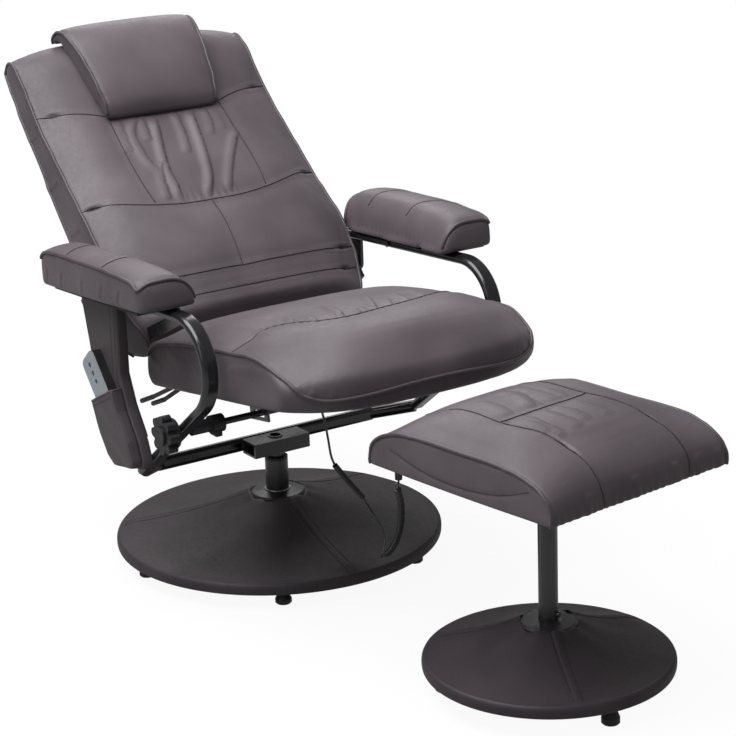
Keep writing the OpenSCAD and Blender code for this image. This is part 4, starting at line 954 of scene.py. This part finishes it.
class RECLINER_OT_ottoman(bpy.types.Operator):
    """Make the ottoman's cushion with its piped sides, seams and gathers"""
    bl_idname = "recliner.ottoman"
    bl_label = "Ottoman cushion"

    def execute(self, context):
        up = context.scene.recliner_upholstery
        c = OTTOMAN
        strokes = [("seam", OTTOMAN_SEAM_LEFT, 0.0038, 0.020), ("seam", OTTOMAN_SEAM_RIGHT, 0.0030, 0.020),
                   ("seam", OTTOMAN_CROSS, 0.0045, 0.022)]
        strokes += [("fold", f, d, 0.010) for f, d in zip(OTTOMAN_FOLDS, OTTOMAN_FOLD_DEPTHS)]
        strokes.append(("gather", OTTOMAN_HEM, 0.0007, 0.014))
        for e in OTTOMAN_CREASE_SHARES:
            strokes.append(("fold", [on_cushion(c, e, row) for row in OTTOMAN_CREASE_ROWS], 0.0028, 0.006))
        crescents = [[on_cushion(c, e, row) for row in OTTOMAN_CRESCENT] for e in (-1, 1)]
        strokes += [("seam", line, 0.0014, 0.010) for line in crescents]
        obj = padded_cover("ottoman_cushion_cover", c, "base", ["ottoman_cushion"], up, strokes,
                           shrink=0.004, cap=0.012, hold=0.006)
        rings = [ring_line(c, e, 0, 14) for e in (-1, 1)]
        corded_edges("ottoman_piping", obj.data, rings, up, "base")
        seam_shade_threads("ottoman_seam_shade_threads", obj.data, [OTTOMAN_SEAM_LEFT, OTTOMAN_SEAM_RIGHT, OTTOMAN_CROSS],
                "base")
        seam_shade_threads("ottoman_side_shade_threads", obj.data, crescents, "base", 0.0005)
        return {"FINISHED"}


# Bases

# Each base's cover: diameters of its disc and hub cap, rise of its roof, height of its foot, and the
# angles of its seams in degrees.
BASE_COVER = dict(disc_d=0.610, cap_d=0.104, rise=0.064, foot=0.027, seams=(-95, 25, 145))
OTTOMAN_COVER = dict(disc_d=0.412, cap_d=0.096, rise=0.054, foot=0.035, seams=(-121.5, -1.5, 118.5))
# Height of the rim, thickness of the solid cover, and half the width of a lapped seam.
RIM_H, COVER_T, LAP = 0.021, 0.0025, 0.0075
COVER_AROUND = 360


def tent_cover(name, place, node, disc_d, cap_d, rise, foot, seams):
    """The sewn cover of a base: three panels drawn down to the rim over the spider's legs, with a
    lapped, twice-stitched seam on each leg and a soft roll at the rim."""
    rim_h = RIM_H
    r, cap_r = disc_d / 2, cap_d / 2 - COVER_T
    mid_r, mid_z = (r + cap_r) / 2, rim_h + rise / 2 - 0.12 * rise
    # Radius and height down the cover, from the hub over the rim to the turned-in hem.
    key = [(cap_r, rim_h + rise), ((cap_r + mid_r) / 2, (rim_h + rise + mid_z) / 2 - 0.002), (mid_r, mid_z),
           ((mid_r + r) / 2, (mid_z + rim_h) / 2 - 0.001), (r - 0.012, rim_h + 0.0022),
           (r - 0.004, rim_h + 0.0005), (r - 0.0004, rim_h - 0.004), (r + 0.0004, rim_h / 2),
           (r - 0.0006, 0.003), (r - 0.004, 0.0004), (r - 0.012, 0.0004)]
    profile = smooth_line([Vector((a, b, 0)) for a, b in key], 8)
    bm = bmesh.new()
    rings = []
    for i, p in enumerate(profile):
        ring = []
        share = (p[0] - cap_r) / (r - cap_r)
        on_roof = max(0.0, min(1.0, (r - p[0]) / 0.03)) if i < len(profile) * 0.55 else 0.0
        for k in range(COVER_AROUND):
            a = 2 * math.pi * k / COVER_AROUND
            nearest = min(abs((a - math.radians(s) + math.pi) % (2 * math.pi) - math.pi) for s in seams)
            arc = nearest * p[0]
            # The cover sags between the legs, and is lifted along each seam and pulled in by its stitches.
            lift = on_roof * (0.0045 * math.exp(-(arc / 0.03) ** 2) - 0.0035 * math.sin(math.pi * share)
                              * (1 - math.exp(-(arc / 0.09) ** 2)))
            lift += on_roof * (0.0010 * math.exp(-(arc / 0.006) ** 2)
                               - 0.0009 * math.exp(-((arc - LAP) / 0.0016) ** 2))
            # Soft waves near the hub and puckers at the rim roll.
            lift += on_roof * 0.0012 * math.exp(-share * 5) * math.sin(9 * a + 1.1)
            if share > 0.86:
                lift += on_roof * 0.0004 * math.sin(34 * a + 2 * math.sin(5 * a)) * (share - 0.86) / 0.14
            ring.append(bm.verts.new(place @ Vector((p[0] * math.cos(a), p[0] * math.sin(a),
                                                     foot + p[1] + lift))))
        rings.append(ring)
    for a, b in zip(rings, rings[1:]):
        for k in range(COVER_AROUND):
            after = (k + 1) % COVER_AROUND
            bm.faces.new((a[k], b[k], b[after], a[after]))
    mesh = bpy.data.meshes.new(name)
    bm.to_mesh(mesh)
    bm.free()
    obj = link(name, mesh, MATERIALS["tent"], "base")
    mod = obj.modifiers.new("cloth thickness", "SOLIDIFY")
    mod.thickness = 0.0012
    mod.offset = -1
    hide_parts(node)
    # Stitches on both sides of each lapped seam.
    stitches = []
    for s in seams:
        for offset in (-LAP, LAP):
            line = []
            for p in profile[2:int(len(profile) * 0.42)]:
                a = math.radians(s) + offset / p[0]
                line.append(place @ Vector((p[0] * math.cos(a), p[0] * math.sin(a), foot + p[1] + 0.004)))
            laid = on_surface(mesh, even_line(line, 0.005), 0.0001)
            for a, b in zip(laid, laid[1:]):
                stitches.append([a.lerp(b, 0.12), a.lerp(b, 0.5) + Vector((0, 0, 0.0004)), a.lerp(b, 0.82)])
    link(name + "_stitches", tube_mesh(name + "_stitches", stitches, 0.0005, 4), MATERIALS["thread"], "base")


class RECLINER_OT_bases(bpy.types.Operator):
    """Make the sewn covers of both bases"""
    bl_idname = "recliner.bases"
    bl_label = "Base covers"

    def execute(self, context):
        tent_cover("base_cover_sewn", Matrix.Translation((0, CHAIR_Y, 0)), "base_cover", **BASE_COVER)
        tent_cover("ottoman_base_cover_sewn", OTTOMAN_PLACE, "ottoman_base_cover", **OTTOMAN_COVER)
        return {"FINISHED"}


# Side panel and pocket

PANEL_REAR, PANEL_W, PANEL_FOOT, PANEL_TOP, PANEL_RISE = 0.103, 0.142, 0.247, 0.561, 0.010
# Rows down the panel: shares of its height, and of its width for its rear edge and its front edge.
PANEL_SHARES = [[1, 0, 0.99], [0.9, -0.03, 0.99], [0.64, -0.18, 0.98], [0.5, -0.24, 0.98],
                [0.32, -0.36, 1.14], [0.16, -0.52, 1.37], [0.05, -0.68, 1.46], [0, -0.86, 1.44]]
# Distance of its inner face from the middle of the chair, and its thickness.
PANEL_X, PANEL_T = 0.3083, 0.022
# The inner layer: its inset from the panel's edges, how far it stands in, and the heights of its ends.
LAYER_INSET, LAYER_T, LAYER_FOOT, LAYER_TOP = 0.026, 0.0118, 0.290, 0.502
# Rows of stitches along the panel's front edge and its rear edge.
FRONT_STITCHES, REAR_STITCHES = (0.0085, 0.0225), 0.0085


def panel_edges(share):
    """Rear and front edge of the side panel, and their heights, at a share of its height."""
    for hi, lo in zip(PANEL_SHARES, PANEL_SHARES[1:]):
        if share >= lo[0]:
            break
    t = (share - lo[0]) / (hi[0] - lo[0])
    rear = PANEL_REAR + PANEL_W * (lo[1] + (hi[1] - lo[1]) * t)
    front = PANEL_REAR - PANEL_W * (lo[2] + (hi[2] - lo[2]) * t)
    z = PANEL_FOOT + share * (PANEL_TOP - PANEL_FOOT)
    return rear, front, z, z + (1 - share) * PANEL_RISE


def slab_mesh(name, rows, near, far, edge, puff=0.0):
    """A wrapped board: rows of (rear, front, height at the rear, height at the front) from its foot up,
    with rounded edges between the near and far faces, and a little padding under the far one."""
    bends = [math.pi / 2 * k / 4 for k in range(5)]
    bm = bmesh.new()
    rings = []
    for rear, front, z_rear, z_front in rows:
        loop = [(near + edge * (1 - math.sin(a)), front + edge * (1 - math.cos(a))) for a in reversed(bends)]
        loop += [(far - edge * (1 - math.cos(a)), front + edge * (1 - math.sin(a))) for a in reversed(bends)]
        width = rear - front - 2 * edge
        loop += [(far + puff * math.sin(math.pi * k / 12) ** 0.6, front + edge + width * k / 12)
                 for k in range(1, 12)]
        loop += [(far - edge * (1 - math.cos(a)), rear - edge * (1 - math.sin(a))) for a in bends]
        loop += [(near + edge * (1 - math.sin(a)), rear - edge * (1 - math.cos(a))) for a in bends]
        ring = []
        for x, y in loop:
            t = (y - front) / (rear - front)
            ring.append(bm.verts.new(Vector((-x, CHAIR_Y + y, z_front + (z_rear - z_front) * t))))
        rings.append(ring)
    for a, b in zip(rings, rings[1:]):
        for i in range(len(a)):
            j = (i + 1) % len(a)
            bm.faces.new((a[i], a[j], b[j], b[i]))
    bm.faces.new(rings[0])
    bm.faces.new(rings[-1])
    bmesh.ops.recalc_face_normals(bm, faces=bm.faces)
    mesh = bpy.data.meshes.new(name)
    bm.to_mesh(mesh)
    bm.free()
    return mesh


# Across the pocket from its rear edge to its front one, and how far it stands out there.
POUCH_ACROSS = (
    [(0, 0), (0, 0.2), (0, 0.4), (0, 0.6), (0.004, 0.78), (0.014, 0.91), (0.032, 0.98), (0.06, 1)]
    + [(0.06 + 0.88 * k / 16, 1 + 0.05 * math.sin(math.pi * k / 16)) for k in range(1, 16)]
    + [(0.94, 1), (0.968, 0.98), (0.986, 0.91), (0.996, 0.78), (1, 0.6), (1, 0.4), (1, 0.2), (1, 0)])
POUCH_DEPTH = 0.0213
POUCH_HEIGHTS = 44
# Insets of the pocket from the panel's front and rear edges, and the air between its cloth and the panel.
POUCH_INSET, POUCH_INSET_REAR, POUCH_AIR = 0.003, 0.013, 0.0004
# The mouth lies at this share of the panel's height. It passes through this place, and rises forwards.
MOUTH_SHARE, MOUTH_Y, MOUTH_Z = 0.35, 0.060, 0.350
MOUTH_RISE, MOUTH_RUN = 0.062, 0.200
# The point across the pocket where its front bend is piped, and the part of its mouth with stitches below.
POUCH_BEND = -6
MOUTH_STITCHES = slice(5, -5)


def pouch_grid():
    """Points of the pocket's cloth, row by row from its foot to its slanting mouth."""
    mouth_rear, mouth_front, _, _ = panel_edges(MOUTH_SHARE)
    grid = []
    for j in range(POUCH_HEIGHTS + 1):
        v = j / POUCH_HEIGHTS
        row = []
        for u, out in POUCH_ACROSS:
            y = mouth_rear * (1 - u) + mouth_front * u
            mouth_z = MOUTH_Z + MOUTH_RISE * (MOUTH_Y - y) / MOUTH_RUN
            share = v * (mouth_z - PANEL_FOOT) / (PANEL_TOP - PANEL_FOOT)
            rear, front, z_rear, z_front = panel_edges(share)
            y = (rear - POUCH_INSET_REAR) * (1 - u) + (front + POUCH_INSET) * u
            z = z_rear * (1 - u) + z_front * u + POUCH_INSET * (1 - v)
            # The pocket fills out upwards, and its cloth waves a little between its edges.
            full = min(1.0, 0.88 + 0.2 * v) * min(1.0, (v / 0.02) ** 0.5)
            wave = 0.0011 * math.sin(7 * u + 9 * v) * math.sin(4 * v + 1) * out * math.sin(math.pi * u)
            stands_out = PANEL_X + PANEL_T + POUCH_AIR + POUCH_DEPTH * out * full + wave
            row.append(Vector((-stands_out, CHAIR_Y + y, z)))
        grid.append(row)
    return grid


def grid_mesh(name, grid):
    """A sheet of faces between the rows of a grid."""
    bm = bmesh.new()
    rows = [[bm.verts.new(p) for p in row] for row in grid]
    for a, b in zip(rows, rows[1:]):
        for i in range(len(a) - 1):
            bm.faces.new((a[i], a[i + 1], b[i + 1], b[i]))
    mesh = bpy.data.meshes.new(name)
    bm.to_mesh(mesh)
    bm.free()
    return mesh


STITCH_STEP, STITCH_R = 0.0045, 0.0005


def stitch_mesh(name, lines):
    """Stitches: short tubes with a gap after each, along the lines."""
    rows = []
    for line in lines:
        line = even_line(line, STITCH_STEP)
        rows += [[a.lerp(b, 0.15), a.lerp(b, 0.85)] for a, b in zip(line, line[1:])]
    return tube_mesh(name, rows, STITCH_R, 4)


def on_panel(name, mesh, material="thread"):
    """Puts a piece of the side panel or its pocket into the scene."""
    return link(name, mesh, MATERIALS[material], "swivel_frame")


class RECLINER_OT_side_panel(bpy.types.Operator):
    """Make the wrapped side panel and the handset's pocket"""
    bl_idname = "recliner.side_panel"
    bl_label = "Side panel and pocket"

    def execute(self, context):
        rows = [panel_edges(k / 40) for k in range(41)]
        slab = slab_mesh("side_panel_wrapped", rows, PANEL_X, PANEL_X + PANEL_T, 0.005, 0.0012)
        panel = on_panel("side_panel_wrapped", slab, "wrap")
        inner = [(rear - LAYER_INSET, front + LAYER_INSET, z_rear, z_front)
                 for rear, front, z_rear, z_front in rows if LAYER_FOOT < z_rear < LAYER_TOP]
        layer = slab_mesh("side_panel_layer", inner, PANEL_X - LAYER_T, PANEL_X + 0.001, 0.003)
        on_panel("side_panel_layer", layer, "wrap")
        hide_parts("side_panel")
        face = -(PANEL_X + PANEL_T) - 0.0006
        edge_lines = [[Vector((face, CHAIR_Y + front + inset, z_front))
                       for _, front, _, z_front in rows[1:-1]] for inset in FRONT_STITCHES]
        edge_lines.append([Vector((face, CHAIR_Y + rear - REAR_STITCHES, z_rear))
                           for rear, _, z_rear, _ in rows[1:-1]])
        edge_lines = [on_surface(panel.data, line, 0.0001) for line in edge_lines]
        on_panel("side_panel_stitches", stitch_mesh("side_panel_stitches", edge_lines))

        grid = pouch_grid()
        mesh = grid_mesh("handset_pocket_sheet", grid)
        pocket = on_panel("handset_pocket_sheet", mesh, "wrap")
        mod = pocket.modifiers.new("sheet thickness", "SOLIDIFY")
        mod.thickness = 0.0014
        mod.offset = 0
        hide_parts("handset_pocket")
        mouth = even_line(grid[-1], 0.003)
        binding = on_panel("pocket_binding", tube_mesh("pocket_binding", [mouth], 0.0019), "piping")
        bend = even_line([row[POUCH_BEND] for row in grid[1:]], LINE_STEP)
        edge = on_panel("pocket_piping", tube_mesh("pocket_piping", [bend], 0.0016), "piping")
        low = even_line([p + Vector((0, 0, -0.011)) for p in grid[-1][MOUTH_STITCHES]], LINE_STEP)
        low = on_surface(mesh, low, 0.0009)
        stitches = on_panel("pocket_stitches", stitch_mesh("pocket_stitches", [low]))
        return {"FINISHED"}


# Cords

# Thickness of the ottoman's lead as a share of the seat lead's.
THIN = 0.86
# Points along one turn of the curly cord, and how many steps of its axis tell its direction.
PER_TURN = 14
AHEAD = 12
# Points of the cords in the chair's frame, in millimetres, as in the solids.
SEAT_LEAD = [[-143, -398, 422], [-143, -398, 416], [-139.5, -398, 402], [-134, -398, 378],
             [-130, -399, 350], [-127, -401, 322], [-121, -402, 304]]
OTTOMAN_LEAD = [[-73, -411, 238], [-66, -416, 222], [-61, -428, 206], [-60, -446, 192], [-65, -463, 178],
                [-75, -474, 164], [-84, -480, 154.5], [-88.1, -482.8, 152.8], [-85, -488, 158]]
CURLY = [[-85, -488, 158], [-79, -498, 168], [-75, -514, 192], [-79, -534, 226], [-91, -556, 264],
         [-109, -580, 296], [-131, -606, 324]]
TAIL = [[-131, -606, 324], [-142, -619, 338], [-150.5, -632, 343.5], [-156.5, -643.5, 347],
        [-159, -651.5, 351.5], [-159, -653.5, 356], [-159, -653.5, 360]]


def chair_line(points):
    """Points in the chair's own frame, in millimetres, as points of the scene."""
    return [Vector((p[0] * MM, p[1] * MM + CHAIR_Y, p[2] * MM)) for p in points]


def round_curve(name, points, radius, body):
    """A cord: a round curve through the points, with closed ends."""
    data = bpy.data.curves.new(name, "CURVE")
    data.dimensions = "3D"
    data.bevel_depth = radius
    data.bevel_resolution = 3
    data.use_fill_caps = True
    spline = data.splines.new("POLY")
    spline.points.add(len(points) - 1)
    for slot, p in zip(spline.points, points):
        slot.co = (*p, 1)
    data.materials.append(MATERIALS["sheath"])
    obj = bpy.data.objects.new(name, data)
    bpy.context.scene.collection.objects.link(obj)
    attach(obj, body)
    return obj


class RECLINER_OT_cords(bpy.types.Operator):
    """Make the lead under the seat and the ottoman's lead with its curly length"""
    bl_idname = "recliner.cords"
    bl_label = "Cords"

    def execute(self, context):
        cords = context.scene.recliner_cords
        radius = cords.lead_diameter / 2
        line = even_line(smooth_line(chair_line(SEAT_LEAD), 5), 0.006)
        seat_lead = round_curve("seat_lead_cord", line, radius, "seat")
        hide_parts("seat_lead")

        # From the ottoman: a short tail, the coil, then the plain lead to the plug.
        tail = even_line(smooth_line(chair_line(list(reversed(TAIL))), 5), 0.005)
        axis = even_line(smooth_line(chair_line(list(reversed(CURLY))), 6), 0.0006)
        total = line_length(axis)
        turns = total / cords.coil_pitch
        count = int(turns * PER_TURN)
        last = len(axis) - 1
        side = None
        coil = []
        for i, at in enumerate(np.linspace(0, last, count)):
            k = min(int(at), last - 1)
            centre = axis[k].lerp(axis[k + 1], at - k)
            ahead = (axis[min(k + AHEAD, last)] - axis[max(k - AHEAD, 0)]).normalized()
            side = ahead.orthogonal() if side is None else side - ahead * side.dot(ahead)
            side = side.normalized()
            other = ahead.cross(side)
            share = i / (count - 1)
            grow = min(1.0, share * 30, (1 - share) * 30)
            a = 2 * math.pi * turns * share
            coil.append(centre + cords.coil_radius * grow * (math.cos(a) * side + math.sin(a) * other))
        lead = even_line(smooth_line(chair_line(list(reversed(OTTOMAN_LEAD))), 6), 0.004)
        whole = tail[:-1] + coil + lead[1:]
        ottoman_lead = round_curve("ottoman_lead_cord", whole, radius * THIN, "base")
        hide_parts("ottoman_lead", "curly_cord")
        return {"FINISHED"}


# Finishes of the solids


class RECLINER_OT_finishes(bpy.types.Operator):
    """Give the solids that show as they are their paint, plastic and board"""
    bl_idname = "recliner.finishes"
    bl_label = "Finishes"

    def execute(self, context):
        groups = {
            "paint": ["base_spider", "ottoman_spider", "column_sleeve", "swivel_shaft", "swivel_plate",
                      "crossbar", "side_tube_left", "side_tube_right", "pivot_hangers", "left_stay",
                      "cross_rod", "back_brackets", "seat_brackets", "ottoman_post", "ottoman_top_plate",
                      "frame_bolts", "pivot_bolts", "ottoman_post_screw"],
            "plated": ["retaining_ring", "thrust_bearing"],
            "plastic": ["base_glides", "column_bushes", "ottoman_glides", "knob_left", "knob_right",
                        "rod_clamps", "ottoman_cord_gland", "seat_cord_gland", "lead_plug", "lead_socket",
                        "back_connectors", "handset_body"],
            "hub": ["hub_cap", "ottoman_hub_cap"],
            "board": ["base_board", "ottoman_base_board"],
            "dust": ["ottoman_seat_board", "back_board", "seat_board", "arm_boards"],
            "silver": ["handset_face"],
            "button": ["power_button", "massage_button", "heat_button"],
            "motor": ["ottoman_motors", "back_motors", "seat_motors"],
        }
        for key, names in groups.items():
            for name in names:
                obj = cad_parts[name]
                if not obj.data.materials:
                    obj.data.materials.append(MATERIALS[key])
                for s in obj.material_slots:
                    s.material = MATERIALS[key]
        return {"FINISHED"}


# Stage

# The photograph's camera: its place from the chair's axis, its turn, pitch and roll in degrees, its sensor.
CAMERA_PLACE = (-2.042, -3.506, 1.614)
CAMERA_TURN, CAMERA_PITCH, CAMERA_ROLL = -32.719, 17.355, 1.968
SENSOR_WIDTH = 36
# The lamps: place, size and share of the key light's power. All are aimed at the seat.
LAMPS = {"key_lamp": ((-1.0, 0.2, 3.1), 2.8, 1), "side_lamp": ((-2.6, -0.9, 1.6), 1.2, 0.04),
         "rear_lamp": ((1.2, 2.4, 2.4), 1.6, 0.16)}
LAMPS_AIM = Vector((0, 0, 0.45))
# Where the pale floor starts to fade to white, and where it is white.
FADE_FROM, FADE_TO = 0.5, 1.3
WHITE = (1, 1, 1, 1)


def add_camera(scene, lens):
    """The camera at the photograph's place and angle."""
    turn, pitch, roll = (math.radians(a) for a in (CAMERA_TURN, CAMERA_PITCH, CAMERA_ROLL))
    back = Vector((math.sin(turn) * math.cos(pitch), -math.cos(turn) * math.cos(pitch), math.sin(pitch)))
    right = Vector((math.cos(turn), math.sin(turn), 0))
    up = back.cross(right)
    c, s = math.cos(roll), math.sin(roll)
    right, up = c * right - s * up, s * right + c * up
    data = bpy.data.cameras.new("camera")
    data.lens = lens
    data.sensor_width = SENSOR_WIDTH
    data.sensor_fit = "HORIZONTAL"
    data.clip_end = 100
    cam = bpy.data.objects.new("camera", data)
    scene.collection.objects.link(cam)
    x, y, z = CAMERA_PLACE
    axes = Matrix((right, up, back)).transposed().to_4x4()
    cam.matrix_world = Matrix.Translation((x, y + CHAIR_Y, z)) @ axes
    scene.camera = cam


def floor_material():
    """Pale paint that takes soft shadows near the chair, and fades to plain white away from it."""
    mat, tree = new_material("Pale matt floor paint")
    ray = add(tree, "ShaderNodeLightPath")
    place = add(tree, "ShaderNodeTexCoord").outputs["Object"]
    mottle = add(tree, "ShaderNodeTexNoise", {"Vector": place, "Scale": 4.0, "Detail": 2.0})
    tone = add(tree, "ShaderNodeMapRange", {"Value": mottle.outputs["Fac"], "To Min": 0.84, "To Max": 0.88})
    # Light that has bounced off the chair meets a darker floor, so the sides keep their shade.
    dull = add(tree, "ShaderNodeMapRange", {"Value": ray.outputs["Is Camera Ray"], "To Min": 0.3,
                                            "To Max": 1.0})
    tint = add(tree, "ShaderNodeMath", {0: tone.outputs["Result"], 1: dull.outputs["Result"]},
               operation="MULTIPLY")
    paint = add(tree, "ShaderNodeBsdfDiffuse", {"Color": tint.outputs[0]})
    glow = add(tree, "ShaderNodeEmission", {"Color": WHITE, "Strength": 1.0})
    far = add(tree, "ShaderNodeVectorMath", {0: place}, operation="LENGTH")
    fade = add(tree, "ShaderNodeMapRange", {"Value": far.outputs["Value"], "From Min": FADE_FROM,
                                            "From Max": FADE_TO, "To Min": 0.93, "To Max": 1.0})
    shown = add(tree, "ShaderNodeMath", {0: ray.outputs["Is Camera Ray"], 1: fade.outputs["Result"]},
                operation="MULTIPLY")
    # The floor shines a little in glossy faces.
    shine = add(tree, "ShaderNodeMath", {0: ray.outputs["Is Glossy Ray"], 1: 0.3}, operation="MULTIPLY")
    share = add(tree, "ShaderNodeMath", {0: shown.outputs[0], 1: shine.outputs[0]}, operation="MAXIMUM")
    both = add(tree, "ShaderNodeMixShader", {0: share.outputs[0], 1: paint.outputs[0], 2: glow.outputs[0]})
    add(tree, "ShaderNodeOutputMaterial", {"Surface": both.outputs[0]})
    return mat


def add_floor(scene):
    """A floor just under the feet."""
    bm = bmesh.new()
    bmesh.ops.create_grid(bm, x_segments=4, y_segments=4, size=12)
    mesh = bpy.data.meshes.new("floor")
    bm.to_mesh(mesh)
    bm.free()
    floor = bpy.data.objects.new("floor", mesh)
    floor.location = (0, 0, -0.0002)
    mesh.materials.append(floor_material())
    scene.collection.objects.link(floor)


def studio_world(strength):
    """White where the camera sees it, and a dimmer even light from all round."""
    world = bpy.data.worlds.new("soft studio")
    world.use_nodes = True
    world.node_tree.nodes.clear()
    tree = world.node_tree
    ray = add(tree, "ShaderNodeLightPath")
    dim = add(tree, "ShaderNodeBackground", {"Color": WHITE, "Strength": strength})
    white = add(tree, "ShaderNodeBackground", {"Color": WHITE, "Strength": 1.0})
    seen = add(tree, "ShaderNodeMath", {0: ray.outputs["Is Camera Ray"],
                                        1: ray.outputs["Is Transmission Ray"]}, operation="MAXIMUM")
    both = add(tree, "ShaderNodeMixShader", {0: seen.outputs[0], 1: dim.outputs[0], 2: white.outputs[0]})
    add(tree, "ShaderNodeOutputWorld", {"Surface": both.outputs[0]})
    return world


def add_lamps(scene, key_light):
    for name, (place, size, share) in LAMPS.items():
        lamp = bpy.data.lights.new(name, "AREA")
        lamp.shape = "SQUARE"
        lamp.size = size
        lamp.energy = key_light * share
        obj = bpy.data.objects.new(name, lamp)
        obj.location = place
        obj.rotation_euler = (LAMPS_AIM - Vector(place)).to_track_quat("-Z", "Y").to_euler()
        scene.collection.objects.link(obj)


class RECLINER_OT_stage(bpy.types.Operator):
    """Set the camera at the photograph's angle, the pale floor and the soft lamps"""
    bl_idname = "recliner.stage"
    bl_label = "Camera, floor and lamps"

    def execute(self, context):
        scene = context.scene
        stage = scene.recliner_stage
        add_camera(scene, stage.lens)
        scene.view_settings.view_transform = "Standard"
        add_floor(scene)
        scene.world = studio_world(stage.world_light)
        add_lamps(scene, stage.key_light)
        return {"FINISHED"}


class RECLINER_PT_panel(bpy.types.Panel):
    """The recliner's operators and settings"""
    bl_idname = "RECLINER_PT_panel"
    bl_label = "Recliner"
    bl_space_type = "VIEW_3D"
    bl_region_type = "UI"
    bl_category = "Recliner"

    def draw(self, context):
        for owner in ("recliner_upholstery", "recliner_metalwork", "recliner_cords", "recliner_stage"):
            box = self.layout.box()
            settings = getattr(context.scene, owner)
            for key in settings.bl_rna.properties.keys():
                if key not in {"rna_type", "name"}:
                    box.prop(settings, key)
        for step in STEPS:
            self.layout.operator(step.bl_idname)


STEPS = (RECLINER_OT_stage, RECLINER_OT_cords, RECLINER_OT_finishes, RECLINER_OT_bases,
         RECLINER_OT_side_panel, RECLINER_OT_back, RECLINER_OT_seat, RECLINER_OT_arms, RECLINER_OT_ottoman)
SETTINGS = {"recliner_upholstery": UpholsterySettings, "recliner_metalwork": MetalworkSettings,
            "recliner_cords": CordSettings, "recliner_stage": StageSettings}


def register():
    for cls in SETTINGS.values():
        bpy.utils.register_class(cls)
    for cls in STEPS:
        bpy.utils.register_class(cls)
    bpy.utils.register_class(RECLINER_PT_panel)
    for key, cls in SETTINGS.items():
        setattr(bpy.types.Scene, key, bpy.props.PointerProperty(type=cls))


def unregister():
    for key in SETTINGS:
        delattr(bpy.types.Scene, key)
    for cls in (RECLINER_PT_panel, *reversed(STEPS), *reversed(list(SETTINGS.values()))):
        bpy.utils.unregister_class(cls)


def main():
    register()
    make_materials(bpy.context.scene.recliner_upholstery, bpy.context.scene.recliner_metalwork)
    for step in STEPS:
        group, name = step.bl_idname.split(".")
        getattr(getattr(bpy.ops, group), name)()


if __name__ == "__main__":
    main()
